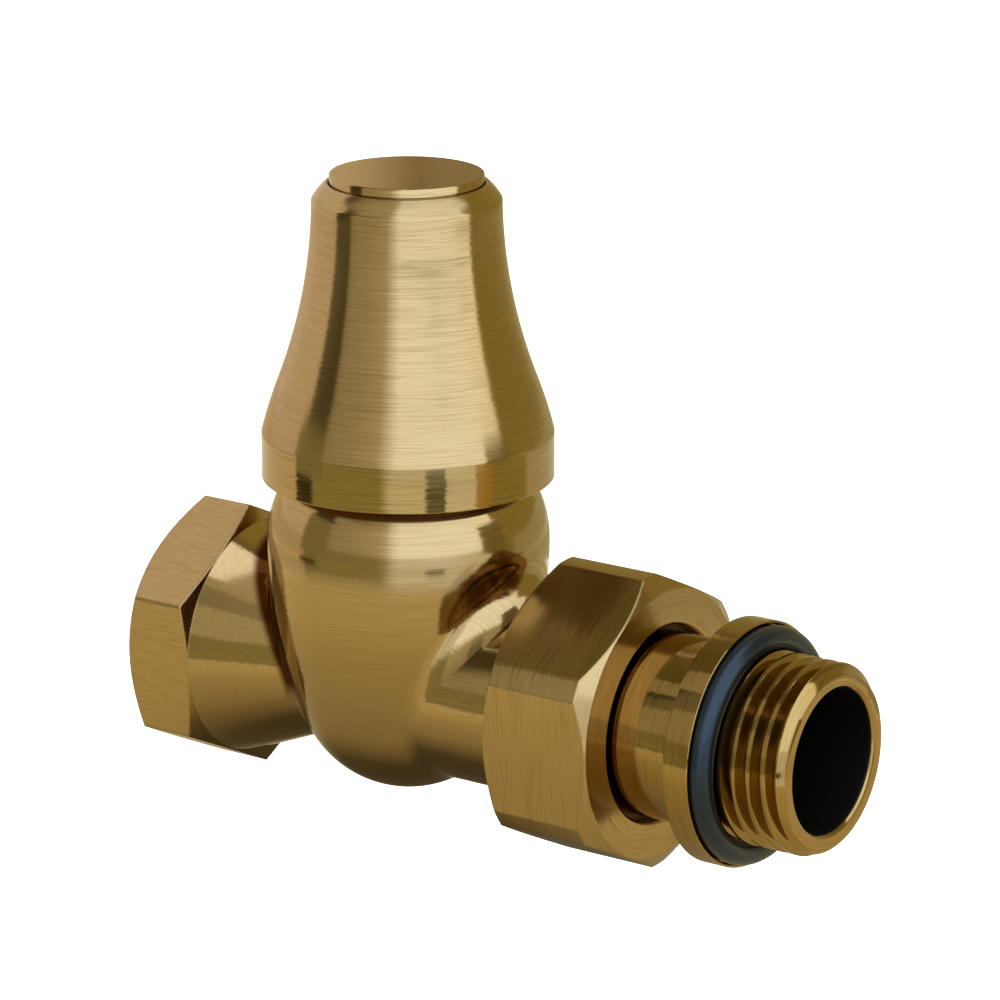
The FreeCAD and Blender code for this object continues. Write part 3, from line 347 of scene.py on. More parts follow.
bpy.ops.mesh.primitive_circle_add(vertices=RING_VERTICES, radius=RING_RADIUS, fill_type="NGON",
                                  location=(SPINDLE_X, 0, TABLE_HEIGHT))
table = bpy.context.object
table.name = "table_below"
table.data.materials.append(painted_shade_table_glow())
reflection_only(table)

world = bpy.data.worlds.new("white_studio")
world.use_nodes = True
world.node_tree.nodes["Background"].inputs["Color"].default_value = linear("#FFFFFF")
world.node_tree.nodes["Background"].inputs["Strength"].default_value = 1.0
bpy.context.scene.world = world

bpy.ops.object.light_add(type="AREA", location=LAMP_PLACE)
lamp = bpy.context.object
lamp.name = "overhead_lamp"
lamp.data.shape = "DISK"
lamp.data.size = LAMP_SIZE
lamp.data.energy = LAMP_WATTS
lamp.rotation_euler = (Vector((SPINDLE_X, 0, 0)) - lamp.location).to_track_quat("-Z", "Y").to_euler()
lamp.visible_glossy = False
print("a table", TABLE_HEIGHT, "m and a floor", FLOOR_DEPTH, "m down, and one lamp")

# %% [markdown]
# The brass was bronzed dark and then brushed on a fine abrasive belt while it turned, so the paler metal
# shows through in hair lines that run round each piece. The hexagon was brushed along the pipe instead.
# A noise drawn out long and thin gives both kinds of line, measured from the axis that the piece turned on.

# %% Brush lines
SPINDLE_AXIS = (0, 0, 1)
PIPE_AXIS = (1, 0, 0)
LINE_THICKNESS = 0.16 * MM
LINE_STRETCH = 2.0
STRAIGHT_STRETCH = 0.06
LINE_NOISE = {"Scale": 1.0, "Detail": 3.0, "Roughness": 0.6}


def round_lines(material, axis, slope):
    """Lines round an axis; slope lets them run on over faces that lean to the axis."""
    across = tuple(1 - c for c in axis)
    place = add_node(material, "TexCoord")
    from_axis = add_node(material, "VectorMath", {0: place.outputs["Object"], 1: (SPINDLE_X, 0, 0)},
                         operation="SUBTRACT")
    spoke = add_node(material, "VectorMath", {0: from_axis.outputs[0], 1: across}, operation="MULTIPLY")
    radius = add_node(material, "VectorMath", {0: spoke.outputs[0]}, operation="LENGTH")
    around = add_node(material, "VectorMath", {0: spoke.outputs[0]}, operation="NORMALIZE")
    along = add_node(material, "VectorMath", {
        0: from_axis.outputs[0], 1: tuple(c / LINE_THICKNESS for c in axis)}, operation="DOT_PRODUCT")
    track = add_node(material, "Math", {
        0: radius.outputs["Value"], 1: slope / LINE_THICKNESS, 2: along.outputs["Value"]},
        operation="MULTIPLY_ADD")
    lift = add_node(material, "VectorMath", {0: axis, "Scale": track.outputs[0]}, operation="SCALE")
    drawn = add_node(material, "VectorMath", {
        0: around.outputs[0], 1: (LINE_STRETCH,) * 3, 2: lift.outputs[0]}, operation="MULTIPLY_ADD")
    return add_node(material, "TexNoise", {"Vector": drawn.outputs[0], **LINE_NOISE}).outputs["Fac"]


def straight_lines(material):
    """Straight lines along the pipe."""
    place = add_node(material, "TexCoord")
    squeeze = (STRAIGHT_STRETCH / LINE_THICKNESS, 1 / LINE_THICKNESS, 1 / LINE_THICKNESS)
    drawn = add_node(material, "VectorMath", {0: place.outputs["Object"], 1: squeeze}, operation="MULTIPLY")
    return add_node(material, "TexNoise", {"Vector": drawn.outputs[0], **LINE_NOISE}).outputs["Fac"]


print("brush lines about", LINE_THICKNESS / MM, "mm thick")

# %% [markdown]
# Painted shade: the tight crease where the inlet neck meets the bulb is coloured dark, as the shade that
# falls
# there. The crease is found by place: close to the neck's cone, close to the bulb and above its
# belly.

# %% Painted shade in the crease
# painted shade: the dark colour that the crease is painted with
CREASE_SHADE_TONE = "#47250C"
NECK_SLOPE = 0.3976
BULB_LEAN = -0.34
CREASE_ON_NECK = (18.6 * MM, 21.5 * MM)
CREASE_ON_BULB = (14.0 * MM, 15.0 * MM)
CREASE_FOOT = (-1.0 * MM, -4.0 * MM)


def clear_of_painted_crease_shade(material):
    """0 in the crease between bulb and inlet neck, where shade is painted dark, and 1 clear of it."""
    place = add_node(material, "TexCoord")
    apart = add_node(material, "SeparateXYZ", {0: place.outputs["Object"]})
    off_pipe = add_node(material, "VectorMath", {0: place.outputs["Object"], 1: (0, 1, 1)},
                        operation="MULTIPLY")
    from_pipe = add_node(material, "VectorMath", {0: off_pipe.outputs[0]}, operation="LENGTH")
    over_neck = add_node(material, "Math", {
        0: apart.outputs["X"], 1: NECK_SLOPE, 2: from_pipe.outputs["Value"]}, operation="MULTIPLY_ADD")
    off_spindle = add_node(material, "VectorMath", {0: place.outputs["Object"], 1: (SPINDLE_X, 0, 0)},
                           operation="SUBTRACT")
    level = add_node(material, "VectorMath", {0: off_spindle.outputs[0], 1: (1, 1, 0)},
                     operation="MULTIPLY")
    from_spindle = add_node(material, "VectorMath", {0: level.outputs[0]}, operation="LENGTH")
    over_bulb = add_node(material, "Math", {
        0: apart.outputs["Z"], 1: BULB_LEAN, 2: from_spindle.outputs["Value"]}, operation="MULTIPLY_ADD")
    bounds = [(over_neck.outputs[0], CREASE_ON_NECK), (over_bulb.outputs[0], CREASE_ON_BULB),
              (apart.outputs["Z"], CREASE_FOOT)]
    clear = 0.0
    for value, (start, end) in bounds:
        step = add_node(material, "MapRange", {"Value": value, "From Min": start, "From Max": end},
                        interpolation_type="SMOOTHSTEP")
        farther = add_node(material, "Math", {0: clear, 1: step.outputs["Result"]}, operation="MAXIMUM")
        clear = farther.outputs[0]
    return clear


print("the dark fades out over", round((CREASE_ON_NECK[1] - CREASE_ON_NECK[0]) / MM, 1), "mm off the neck")

# %% [markdown]
# Hair lines scatter light across themselves and hardly along themselves: a reflection stays crisp round
# the handle and smears up and down it. The shader does the same with an anisotropic metal whose grain
# follows the lines, and the line noise changes its tone, its polish and its lean a little.
# Each form was brushed or turned in its own way, so each gets its own brass.

# %% Brushed brass
BRASS_TONES = ("#B59969", "#9C8152")
TAIL_TONES = ("#A98A53", "#8C6F3E")
DEEP_REACH, BRIGHT_REACH = 0.22, 0.05
NOISE_SPAN = (0.3, 0.7)
ROUGHER, SMOOTHER = 0.05, 0.03
EDGE = 0.3 * MM
EDGE_SAMPLES = 6
GRAIN_ROUND, GRAIN_STRAIGHT = 0.25, 0.0


def spread(material, noise, low, high):
    """Spread the span that the noise mostly stays in over low to high."""
    spread_out = add_node(material, "MapRange", {
        "Value": noise, "From Min": NOISE_SPAN[0], "From Max": NOISE_SPAN[1],
        "To Min": low, "To Max": high})
    return spread_out.outputs["Result"]


def fading_grain(material, grain, fade):
    """The grain's strength, easing out between two distances from the spindle along the pipe."""
    place = add_node(material, "TexCoord")
    apart = add_node(material, "SeparateXYZ", {0: place.outputs["Object"]})
    offset = add_node(material, "Math", {0: apart.outputs["X"], 1: SPINDLE_X}, operation="SUBTRACT")
    distance = add_node(material, "Math", {0: offset.outputs[0]}, operation="ABSOLUTE")
    eased = add_node(material, "MapRange", {
        "Value": distance.outputs[0], "From Min": fade[0], "From Max": fade[1],
        "To Min": grain, "To Max": 0.0}, interpolation_type="SMOOTHSTEP")
    return eased.outputs["Result"]


def brushed_brass(name, axis, slope=0.0, straight=False, polish=0.2, grain=0.8, fade=None, contrast=1.0,
                  wander=0.02, tones=BRASS_TONES, edge=0.0, crease=False):
    """Bronzed brass brushed round an axis or straight along the pipe; fade is where its grain eases out."""
    material, output = new_material(name)
    lines = straight_lines(material) if straight else round_lines(material, axis, slope)
    tone = add_node(material, "ValToRGB", {"Fac": lines})
    deep, bright = tone.color_ramp.elements
    deep.position, deep.color = 0.5 - DEEP_REACH / contrast, linear(tones[1])
    bright.position, bright.color = 0.5 + BRIGHT_REACH / contrast, linear(tones[0])
    # painted shade: the crease is coloured dark on this brass
    if crease:
        tone = add_node(material, "MixRGB", {
            0: clear_of_painted_crease_shade(material), 1: linear(CREASE_SHADE_TONE), 2: tone.outputs["Color"]})
    face_normal = add_node(material, "NewGeometry").outputs["Normal"]
    grain_run = add_node(material, "VectorMath", {0: axis, 1: face_normal}, operation="CROSS_PRODUCT")
    leaning = add_node(material, "VectorMath", {
        0: grain_run.outputs[0], "Scale": spread(material, lines, -wander, wander)}, operation="SCALE")
    eased_normal = face_normal
    if edge:
        eased_normal = add_node(material, "Bevel", {"Radius": edge}, samples=EDGE_SAMPLES).outputs["Normal"]
    combed = add_node(material, "VectorMath", {0: eased_normal, 1: leaning.outputs[0]}, operation="ADD")
    upright = add_node(material, "VectorMath", {0: combed.outputs[0]}, operation="NORMALIZE")
    shader = add_node(material, "BsdfPrincipled", {
        "Base Color": tone.outputs["Color"], "Metallic": 1.0,
        "Roughness": spread(material, lines, polish + ROUGHER, polish - SMOOTHER),
        "Normal": upright.outputs[0], "Tangent": grain_run.outputs[0],
        "Anisotropic": fading_grain(material, grain, fade) if fade else grain,
        "Anisotropic Rotation": GRAIN_STRAIGHT if straight else GRAIN_ROUND})
    return surface(material, output, shader)


HANDLE_BRASS = brushed_brass("brass_brushed_round_handle", SPINDLE_AXIS, slope=-1.0, polish=0.17,
                             contrast=0.8)
BAND_BRASS = brushed_brass("brass_brushed_round_band", SPINDLE_AXIS, slope=-1.0, polish=0.07, grain=0.3)
DISC_BRASS = brushed_brass("brass_brushed_round_disc", SPINDLE_AXIS, slope=-1.0, polish=0.13, grain=0.3)
# the bulb and the necks get the painted shade of the crease
BODY_BRASS = brushed_brass("brass_brushed_round_bulb", SPINDLE_AXIS, slope=1.0, polish=0.12, grain=0.4,
                           fade=(10.5 * MM, 15.5 * MM), contrast=0.45, crease=True)
NECK_BRASS = brushed_brass("brass_polished_necks", PIPE_AXIS, straight=True, polish=0.1, grain=0.2,
                           contrast=0.5, wander=0.01, crease=True)
HEX_BRASS = brushed_brass("brass_brushed_along_pipe", PIPE_AXIS, straight=True, polish=0.18, grain=0.6,
                          contrast=0.6, edge=2 * EDGE)
NUT_BRASS = brushed_brass("brass_brushed_across_flats", PIPE_AXIS, polish=0.11, grain=0.5, edge=EDGE)
TURNED_BRASS = brushed_brass("brass_turned_round_pipe", PIPE_AXIS, slope=-1.0, polish=0.15, grain=0.5,
                             edge=EDGE)
TAIL_BRASS = brushed_brass("brass_turned_tail", PIPE_AXIS, slope=-1.0, polish=0.09, grain=0.4,
                           tones=TAIL_TONES)
print("nine kinds of brushed brass,", len(bpy.data.materials), "materials so far")

# %% [markdown]
# Painted shade: the bores and the handle's hollow are coloured nearly black and the rim's underside darker,
# on top of plain dark bronzing where no belt came.
# The same simple finish, one colour with a fine mottle in its shine, later serves rubber and steel.

# %% Plain finishes
MOTTLE_SCALE = 1500.0
MOTTLE_DEPTH = 0.06


def plain_finish(name, colour, metallic, roughness, **sockets):
    """One colour with a fine mottle of its roughness; other shader sockets are given with _ for a space."""
    material, output = new_material(name)
    place = add_node(material, "TexCoord")
    mottle = add_node(material, "TexNoise", {
        "Vector": place.outputs["Object"], "Scale": MOTTLE_SCALE, "Detail": 2.0})
    rough = add_node(material, "MapRange", {
        "Value": mottle.outputs["Fac"],
        "To Min": roughness - MOTTLE_DEPTH, "To Max": roughness + MOTTLE_DEPTH})
    shader = add_node(material, "BsdfPrincipled", {
        "Base Color": linear(colour), "Metallic": metallic, "Roughness": rough.outputs["Result"],
        **{socket.replace("_", " "): value for socket, value in sockets.items()}})
    return surface(material, output, shader)


# painted shade: nearly black for the bores and the hollow, darker brown for the downward-facing rim
# underside
BORE_SHADE_DARK = plain_finish("bronzed_bore_painted_shade", "#15100A", 0.7, 0.5)
RIM_UNDERSIDE_SHADE = plain_finish("bronzed_underside_painted_shade", "#6B4A24", 1.0, 0.4)
print("made", BORE_SHADE_DARK.name, "and", RIM_UNDERSIDE_SHADE.name)

# %% [markdown]
# Most of the valve is turned, so the main tool is a lathe: a half section is drawn point by point
# and spun round the spindle or the pipe.

# %% Turning tools
SPIN_STEPS = 192
ARC_STEP_DEGREES = 1.0
FEWEST_ARC_STEPS = 4
MERGE_DISTANCE = 0.001 * MM


def drawn_line(name, points):
    """An open line through the points, drawn from a plane squeezed to one vertex, left in edit mode."""
    bpy.ops.object.select_all(action="DESELECT")
    bpy.ops.mesh.primitive_plane_add(size=MM)
    piece = bpy.context.object
    piece.name = piece.data.name = name
    bpy.ops.object.mode_set(mode="EDIT")
    bpy.ops.mesh.select_all(action="SELECT")
    bpy.ops.mesh.merge(type="CENTER")
    bpy.ops.transform.translate(value=points[0])
    for start, end in zip(points, points[1:]):
        step = Vector(end) - Vector(start)
        bpy.ops.mesh.extrude_region_move(TRANSFORM_OT_translate={"value": step})
    return piece


def arc(start, end, radius, turn):
    """Points from start to end on an arc that bulges to the right of travel when turn is +1."""
    (x0, y0), (x1, y1) = start, end
    half = math.hypot(x1 - x0, y1 - y0) / 2
    rise = math.sqrt(radius ** 2 - half ** 2)
    ux, uy = (x1 - x0) / half / 2, (y1 - y0) / half / 2
    cx, cy = (x0 + x1) / 2 - uy * rise * turn, (y0 + y1) / 2 + ux * rise * turn
    first = math.atan2(y0 - cy, x0 - cx)
    sweep = 2 * math.asin(half / radius) * turn
    steps = max(FEWEST_ARC_STEPS, round(abs(math.degrees(sweep)) / ARC_STEP_DEGREES))
    angles = [first + sweep * i / steps for i in range(steps + 1)]
    return [(cx + radius * math.cos(angle), cy + radius * math.sin(angle)) for angle in angles]


def clean_mesh():
    """Merge doubled vertices of the mesh in edit mode and turn its faces outwards."""
    bpy.ops.mesh.select_all(action="SELECT")
    bpy.ops.mesh.remove_doubles(threshold=MERGE_DISTANCE)
    bpy.ops.mesh.normals_make_consistent(inside=False)


def turned(name, section, axis, steps=SPIN_STEPS):
    """Spin a half section, as (radius, height along the axis) in mm, about the spindle or the pipe."""
    if axis == SPINDLE_AXIS:
        points = [(SPINDLE_X + r * MM, 0, h * MM) for r, h in section]
    else:
        points = [(h * MM, 0, r * MM) for r, h in section]
    piece = drawn_line(name, points)
    bpy.ops.mesh.select_all(action="SELECT")
    bm = bmesh.from_edit_mesh(piece.data)
    for vert in bm.verts:
        vert.select_set(len(vert.link_edges) == 1)
    bm.select_flush_mode()
    bmesh.update_edit_mesh(piece.data)
    if section[0][0] > 0 or section[-1][0] > 0:
        bpy.ops.mesh.edge_face_add()
    bpy.ops.mesh.select_all(action="SELECT")
    bpy.ops.mesh.spin(steps=steps, angle=2 * math.pi, center=(SPINDLE_X, 0, 0), axis=axis)
    clean_mesh()
    bpy.ops.object.mode_set(mode="OBJECT")
    return piece


print("the lathe turns in", SPIN_STEPS, "steps")

# %% [markdown]
# A brushed edge always catches a fine bright line, so every sharp edge is eased with a small bevel.
# The broad faces then set the shading up to their edges: else the narrow bevels would make flats look bent.
# A finished piece gets its materials, is hung on the body it rides on, and the solid it replaces is hidden.

# %% Easing and finishing tools
FLATS_WEIGHT = 50


def apply_modifier(piece, kind, **settings):
    """Put a modifier on a piece and apply it."""
    bpy.context.view_layer.objects.active = piece
    modifier = piece.modifiers.new(kind.title(), kind)
    for name, value in settings.items():
        setattr(modifier, name, value)
    bpy.ops.object.modifier_apply(modifier=modifier.name)


def ease_edges(piece, width, angle=30, segments=3):
    """Round every edge sharper than the angle, then shade the rest smooth."""
    bpy.ops.object.select_all(action="DESELECT")
    piece.select_set(True)
    apply_modifier(piece, "BEVEL", width=width * MM, limit_method="ANGLE", angle_limit=math.radians(angle),
                   segments=segments, use_clamp_overlap=True, miter_outer="MITER_ARC")
    bpy.ops.object.shade_smooth_by_angle(angle=math.radians(angle))


def flatten_flats(piece):
    """Let broad faces set the shading at their edges, so that flats look flat."""
    apply_modifier(piece, "WEIGHTED_NORMAL", keep_sharp=True, weight=FLATS_WEIGHT)


def finish_piece(piece, body, node, materials):
    """Give a piece its materials, hang it on its body and hide the solid it replaces."""
    for material in materials:
        piece.data.materials.append(material)
    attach(piece, body)
    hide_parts(node)
    print(piece.name, "has", len(piece.data.polygons), "faces")


def assign_by_place(piece, chooser):
    """Give each face the material number that the chooser gives for its middle in mm and its normal."""
    for face in piece.data.polygons:
        face.material_index = chooser(face.center / MM, face.normal)


print("broad faces count", FLATS_WEIGHT, "in the shading")

# %% [markdown]
# The handle is a bell turned from bar: an upright band at its edge, a crease, a swelling flank that
# hollows towards the top, and a shoulder chamfered down to the seat of the disc. It is hollow, with a
# core that holds the bush and the screw. The hollow and the rim's underside are painted dark, as shade.

# %% Handle
band_top = (16.1, 27.45)
flank = (14.19, 33.45)
shoulder = (10.4, 53.45)
top_edge = (8.9, 55.25)
HOLLOW_RADIUS, HOLLOW_TOP = 14.6, 28
CORE_RADIUS, CORE_TOP = 9.9, 54
BAND_TOP = 27.4
FACING_DOWN = -0.9
ON_BELL, ON_BAND, IN_HOLLOW, ON_RIM = range(4)

handle_section = (
    [(14.65, 22.35), (16.1, 22.35)]
    + arc(band_top, flank, radius=50, turn=1)
    + arc(flank, shoulder, radius=58, turn=-1)[1:]
    + arc(shoulder, top_edge, radius=8, turn=1)[1:]
    + [(8.55, 55.25), (8.55, 54.35), (4.6, 54.35), (4.6, 50.65), (2.05, 50.65), (2.05, 48.66),
       (6.42, 48.66), (6.42, 41.2), (9.8, 41.2), (14.65, 27.95)]
)


def handle_finish(middle, normal):
    """Which of the handle's materials a face gets."""
    from_spindle = math.hypot(middle.x - SPINDLE_X / MM, middle.y)
    in_bell = from_spindle < HOLLOW_RADIUS and middle.z < HOLLOW_TOP
    in_core = from_spindle < CORE_RADIUS and middle.z < CORE_TOP
    if in_bell or in_core:
        return IN_HOLLOW
    if normal.z < FACING_DOWN:
        return ON_RIM
    return ON_BAND if middle.z < BAND_TOP else ON_BELL


handle = turned("handle_bell", handle_section, SPINDLE_AXIS)
ease_edges(handle, width=0.18, angle=9)
flatten_flats(handle)
finish_piece(handle, "handwheel", "handle",
             [HANDLE_BRASS, BAND_BRASS, BORE_SHADE_DARK, RIM_UNDERSIDE_SHADE])
assign_by_place(handle, handle_finish)

# %% [markdown]
# The disc that hides the handle's screw is a separate turned piece, pressed into the top.

# %% Top disc
disc_section = [(0, 53.95), (4.5, 53.95), (4.5, 54.45), (8.45, 54.45), (8.45, 56.25), (0, 56.25)]
disc = turned("top_disc_cap", disc_section, SPINDLE_AXIS)
ease_edges(disc, width=0.16)
flatten_flats(disc)
finish_piece(disc, "handwheel", "top_disc", [DISC_BRASS])

# %% [markdown]
# Both pipe threads are half-inch ones with fourteen turns to the inch. A true helix is made by drawing one
# turn of the thread's outline and screwing it along the pipe. The rod that results is a tap for the inlet,
# and for the tail a core that the space between the ridges is cut round.

# %% Thread tools
PITCH = 1.814
CREST_LAND = 0.15
THREAD_STEPS = 128
SPARE_TURNS = 4
SCREW_MERGE = 0.0005 * MM
CUT_CLOSENESS = 1e-5 * MM


def threaded_rod(name, crest, root, start, end, crest_at, crest_turn):
    """A right-handed threaded rod along the pipe; one crest passes crest_at at the angle crest_turn."""
    first = start - SPARE_TURNS / 2 * PITCH
    shift = (crest_at - crest_turn / FULL_TURN * PITCH - first) % PITCH
    base = first + shift - PITCH / 2
    section = [(root, 0), (root, CREST_LAND), (crest, PITCH / 2 - CREST_LAND),
               (crest, PITCH / 2 + CREST_LAND), (root, PITCH - CREST_LAND), (root, PITCH)]
    rod = drawn_line(name, [((base + h) * MM, r * MM, 0) for r, h in section])
    bpy.ops.object.mode_set(mode="OBJECT")
    turns = math.ceil((end - start) / PITCH) + SPARE_TURNS
    bpy.ops.object.select_all(action="DESELECT")
    rod.select_set(True)
    apply_modifier(rod, "SCREW", axis="X", angle=2 * math.pi, screw_offset=PITCH * MM, iterations=turns,
                   steps=THREAD_STEPS, render_steps=THREAD_STEPS, use_merge_vertices=True,
                   merge_threshold=SCREW_MERGE, use_normal_calculate=True)
    bpy.ops.object.mode_set(mode="EDIT")
    clean_mesh()
    for cut, outward in ((start, -1), (end, 1)):
        bpy.ops.mesh.select_all(action="SELECT")
        bpy.ops.mesh.bisect(plane_co=(cut * MM, 0, 0), plane_no=(outward, 0, 0), use_fill=True,
                            clear_outer=True, clear_inner=False, threshold=CUT_CLOSENESS)
    clean_mesh()
    bpy.ops.object.mode_set(mode="OBJECT")
    return rod


def combine(piece, other, operation):
    """Cut another solid out of a piece or keep what they share, then drop the other."""
    bpy.ops.object.select_all(action="DESELECT")
    piece.select_set(True)
    apply_modifier(piece, "BOOLEAN", object=other, operation=operation, solver="EXACT")
    bpy.data.objects.remove(other)


print("threads of", PITCH, "mm pitch")

# %% [markdown]
# The body is a hot pressing, turned and bored: an egg-shaped bulb, a hexagon at the inlet with a conical
# neck that meets the bulb in a tight crease, a round outlet neck and a threaded end under the union nut.
# A copy of its solid keeps all the passages. Its inlet is tapped with a real thread and its edges eased.
# The bulb was brushed round the spindle, the hexagon along the pipe, and the necks are nearly polished.

# %% Body
TAP_CREST, TAP_ROOT = 10.4775, 9.2
TAP_START, TAP_END = -1.5, 12.6
SAME_PLANE = math.radians(0.3)
HEX_END, HEX_RIM = 8.72, 12.5
NECK_START, NECK_END, NECK_RADIUS, NECK_SPREAD = 8.7, 20, 13.4, 0.2
OUTLET_START, OUTLET_RADIUS, OUTLET_SPREAD = 40, 10.8, 0.3
INLET_DEPTH, INLET_RADIUS = 14, 10.6
ALONG_PIPE = 0.2
ON_BULB, ON_HEX, IN_INLET, ON_NECK = range(4)


def copy_of_node(name, node):
    """A merged copy of a node's mesh as a piece of its own."""
    bpy.ops.object.select_all(action="DESELECT")
    source = frame["nodes"][node]
    piece = bpy.data.objects.new(name, source.data.copy())
    piece.data.name = name
    bpy.context.scene.collection.objects.link(piece)
    piece.data.materials.clear()
    bpy.context.view_layer.objects.active = piece
    piece.select_set(True)
    bpy.ops.mesh.customdata_custom_splitnormals_clear()
    bpy.ops.object.mode_set(mode="EDIT")
    clean_mesh()
    bpy.ops.mesh.dissolve_limited(angle_limit=SAME_PLANE)
    bpy.ops.object.mode_set(mode="OBJECT")
    return piece


def body_finish(middle, normal):
    """Which of the body's materials a face gets."""
    from_pipe = math.hypot(middle.y, middle.z)
    neck_here = NECK_RADIUS - NECK_SLOPE * (middle.x - NECK_START)
    on_inlet_neck = NECK_START < middle.x < NECK_END and abs(from_pipe - neck_here) < NECK_SPREAD
    on_outlet_neck = middle.x > OUTLET_START and abs(from_pipe - OUTLET_RADIUS) < OUTLET_SPREAD
    if on_inlet_neck or on_outlet_neck:
        return ON_NECK
    if middle.x < HEX_END and from_pipe > HEX_RIM:
        return ON_HEX if abs(normal.x) < ALONG_PIPE else IN_INLET
    return IN_INLET if from_pipe < INLET_RADIUS and middle.x < INLET_DEPTH else ON_BULB


body = copy_of_node("valve_casting", "valve_body")
tap = threaded_rod("inlet_tap", TAP_CREST, TAP_ROOT, TAP_START, TAP_END, crest_at=0, crest_turn=0)
combine(body, tap, "DIFFERENCE")
ease_edges(body, width=0.3, angle=25)
flatten_flats(body)
finish_piece(body, "valve", "valve_body",
             [BODY_BRASS, HEX_BRASS, TURNED_BRASS, NECK_BRASS])
assign_by_place(body, body_finish)

# %% [markdown]
# The union nut is a hexagon bar turned on a lathe: its corners are taken down a little and its two ends
# are coned, which leaves the curved edges where cone and flats meet.
# A turned blank with the thread bore is kept only where it lies inside a hexagonal bar.

# %% Union nut
NUT_BACK, NUT_FRONT = 50.0, 63.4
NUT_MIDDLE = (NUT_BACK + NUT_FRONT) / 2 * MM
ACROSS_FLATS = 30 * MM
CORNER_RADIUS, CONE_RADIUS, CONE_ANGLE = 16.65, 14.85, math.radians(35)
NUT_TURN = 3.7
NUT_STEPS = 256
NUT_OUTSIDE = 14
ON_FLATS, ON_CONES = range(2)


def turn_bar(angle, axis):
    """Turn the bar's mesh about its own middle."""
    bpy.ops.object.mode_set(mode="EDIT")
    bpy.ops.mesh.select_all(action="SELECT")
    bpy.ops.transform.rotate(value=angle, orient_axis=axis, center_override=(NUT_MIDDLE, 0, 0))
    bpy.ops.object.mode_set(mode="OBJECT")


def corner_angle(bar):
    """The angle of the bar's highest corner round the pipe, in degrees."""
    corner = max((bar.matrix_world @ vertex.co for vertex in bar.data.vertices), key=lambda place: place.z)
    return math.degrees(math.atan2(corner.z, corner.y))


def nut_finish(middle, normal):
    """Which of the nut's materials a face gets."""
    outside = math.hypot(middle.y, middle.z) > NUT_OUTSIDE
    return ON_FLATS if outside and abs(normal.x) < ALONG_PIPE else ON_CONES


cone = (CORNER_RADIUS - CONE_RADIUS) * math.tan(CONE_ANGLE)
nut_section = [(13.7, NUT_BACK), (CONE_RADIUS, NUT_BACK), (CORNER_RADIUS, NUT_BACK + cone),
               (CORNER_RADIUS, NUT_FRONT - cone), (CONE_RADIUS, NUT_FRONT), (11.15, NUT_FRONT),
               (10.85, 63.1), (10.85, 61.9), (13.25, 61.9), (13.25, 50.45)]
nut = turned("union_nut_hexagon", nut_section, PIPE_AXIS, steps=NUT_STEPS)
bpy.ops.object.select_all(action="DESELECT")
bpy.ops.mesh.primitive_cylinder_add(vertices=6, radius=ACROSS_FLATS / math.sqrt(3), depth=ACROSS_FLATS,
                                    location=(NUT_MIDDLE, 0, 0))
bar = bpy.context.object
turn_bar(math.pi / 2, "Y")
turn_bar(-math.radians(90 + NUT_TURN - corner_angle(bar)), "X")
print("nut corner at", round(corner_angle(bar), 2), "degrees")
combine(nut, bar, "INTERSECT")
ease_edges(nut, width=0.28, angle=18)
flatten_flats(nut)
finish_piece(nut, "nut", "union_nut", [NUT_BRASS, TURNED_BRASS])
assign_by_place(nut, nut_finish)

# %% [markdown]
# The tail is turned from bar: a spigot that enters the body, a neck that the nut turns on, a collar with
# a recess for the rubber ring, and the half-inch thread that enters the radiator.
# The thread is cut from the turned blank, as a die would: the space between its ridges is made as a solid
# and taken away, so the crests keep the flat that the lathe gave them.

# %% Tail
BLANK_CREST, THREAD_ROOT, ROD_CREST = 10.4775, 9.3155, 10.56
ROD_START, ROD_END = 74.0, 87.0
CREST_PLACE, CREST_TURN = 80.719, 165
SPACE_START, SPACE_END, SPACE_INSIDE, SPACE_OUTSIDE = 75.0, 86.0, 8.6, 12.0
TAIL_BORE = 8
TAIL_EASE_ANGLE = 25
ON_TAIL, IN_TAIL = range(2)


def tail_finish(middle, normal):
    """Which of the tail's materials a face gets."""
    return IN_TAIL if math.hypot(middle.y, middle.z) < TAIL_BORE else ON_TAIL


tail_section = [(6.93, 54.5), (9.0, 54.5), (9.3, 54.8), (9.3, 56.3), (8.0, 56.3), (8.0, 57.9), (9.3, 57.9),
                (9.3, 59.4), (10.15, 59.4), (10.15, 60.3), (9.45, 60.3), (9.45, 61.9), (10.15, 61.9),
                (10.15, 72.06), (13.4, 72.06), (13.4, 75.12), (13.05, 75.12), (13.05, 74.22),
                (THREAD_ROOT, 74.22), (THREAD_ROOT, 74.8), (BLANK_CREST, 75.4), (BLANK_CREST, 83.9),
                (9.6375, 84.87), (8.2, 84.87), (7.87, 84.5), (7.87, 73.87), (6.93, 73.87)]
space_section = [(SPACE_INSIDE, SPACE_START), (SPACE_OUTSIDE, SPACE_START),
                 (SPACE_OUTSIDE, SPACE_END), (SPACE_INSIDE, SPACE_END)]
tail = turned("tail_with_thread", tail_section, PIPE_AXIS)
ease_edges(tail, width=0.15, angle=TAIL_EASE_ANGLE)
rod = threaded_rod("tail_thread_rod", ROD_CREST, THREAD_ROOT, ROD_START, ROD_END, CREST_PLACE, CREST_TURN)
thread_space = turned("tail_thread_space", space_section, PIPE_AXIS)
combine(thread_space, rod, "DIFFERENCE")
combine(tail, thread_space, "DIFFERENCE")
bpy.ops.object.shade_smooth_by_angle(angle=math.radians(TAIL_EASE_ANGLE))
flatten_flats(tail)
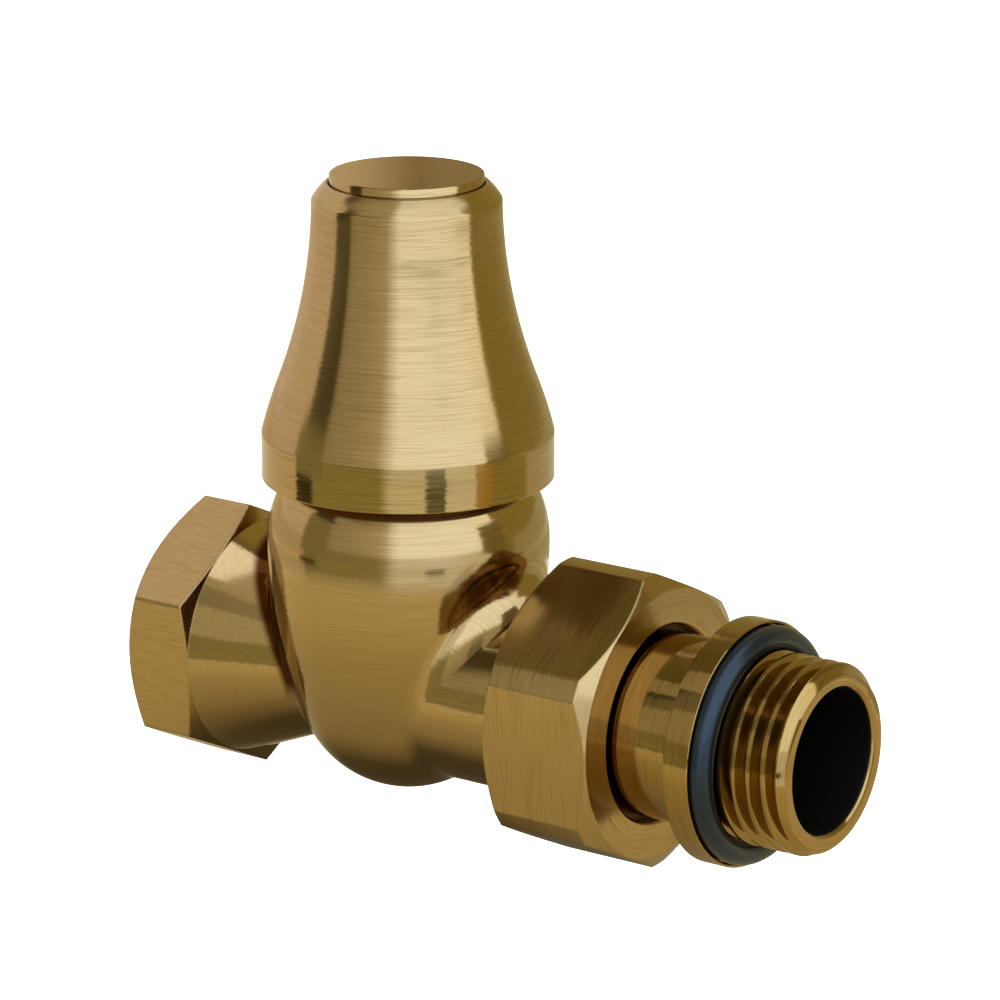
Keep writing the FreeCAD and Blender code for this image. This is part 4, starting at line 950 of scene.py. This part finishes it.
finish_piece(tail, "tail", "tailpiece", [TAIL_BRASS, BORE_SHADE_DARK])
assign_by_place(tail, tail_finish)

# %% [markdown]
# The rubber ring seals the collar against the radiator. It is moulded, smooth and blue-black in its shine.

# %% Rubber ring
RING_MIDDLE, RING_CENTRE_RADIUS, RING_WIRE = 75.62, 11.6, 1.39
WIRE_STEP_DEGREES = 9

ring_angles = [math.radians(degrees) for degrees in range(0, FULL_TURN, WIRE_STEP_DEGREES)]
ring_section = [(RING_CENTRE_RADIUS + RING_WIRE * math.cos(angle),
                 RING_MIDDLE + RING_WIRE * math.sin(angle)) for angle in ring_angles]
RUBBER = plain_finish("black_rubber", "#0E141A", 0.0, 0.28, Specular_Tint=linear("#C2DAF0"),
                      Specular_IOR_Level=0.65)
ring = turned("tail_rubber_ring", ring_section, PIPE_AXIS)
bpy.ops.object.select_all(action="DESELECT")
ring.select_set(True)
bpy.context.view_layer.objects.active = ring
bpy.ops.object.shade_smooth()
finish_piece(ring, "tail", "tail_o_ring", [RUBBER])

# %% [markdown]
# The pieces inside are seen only when the valve is taken apart: turned brass, zinc-plated steel,
# red fibre, white plastic and black rubber. Their solids stay as they are.
# The split ring that holds the nut shows as a thin line in the nut's hole, so it is bronzed like the brass.

# %% Finishes of the pieces inside
INSIDE = {
    "plain_brass": plain_finish("plain_turned_brass", "#C8A860", 1.0, 0.3),
    "steel": plain_finish("zinc_steel", "#B4B6B8", 1.0, 0.35),
    "nut_retaining_ring": plain_finish("bronzed_spring_steel", "#5A4224", 1.0, 0.45),
    "gasket_fibre": plain_finish("red_fibre", "#7A3A2C", 0.0, 0.8),
    "white_plastic": plain_finish("white_plastic", "#E4E2DC", 0.0, 0.5),
    "black_rubber": RUBBER,
}
slot_of = {row["node"]: row["material_slot"] for row in frame["record"]["subparts"]}
for node, solid in frame["nodes"].items():
    material = INSIDE.get(node) or INSIDE.get(slot_of[node])
    if material:
        solid.data.materials.clear()
        solid.data.materials.append(material)
print("finishes for", len(slot_of), "nodes")
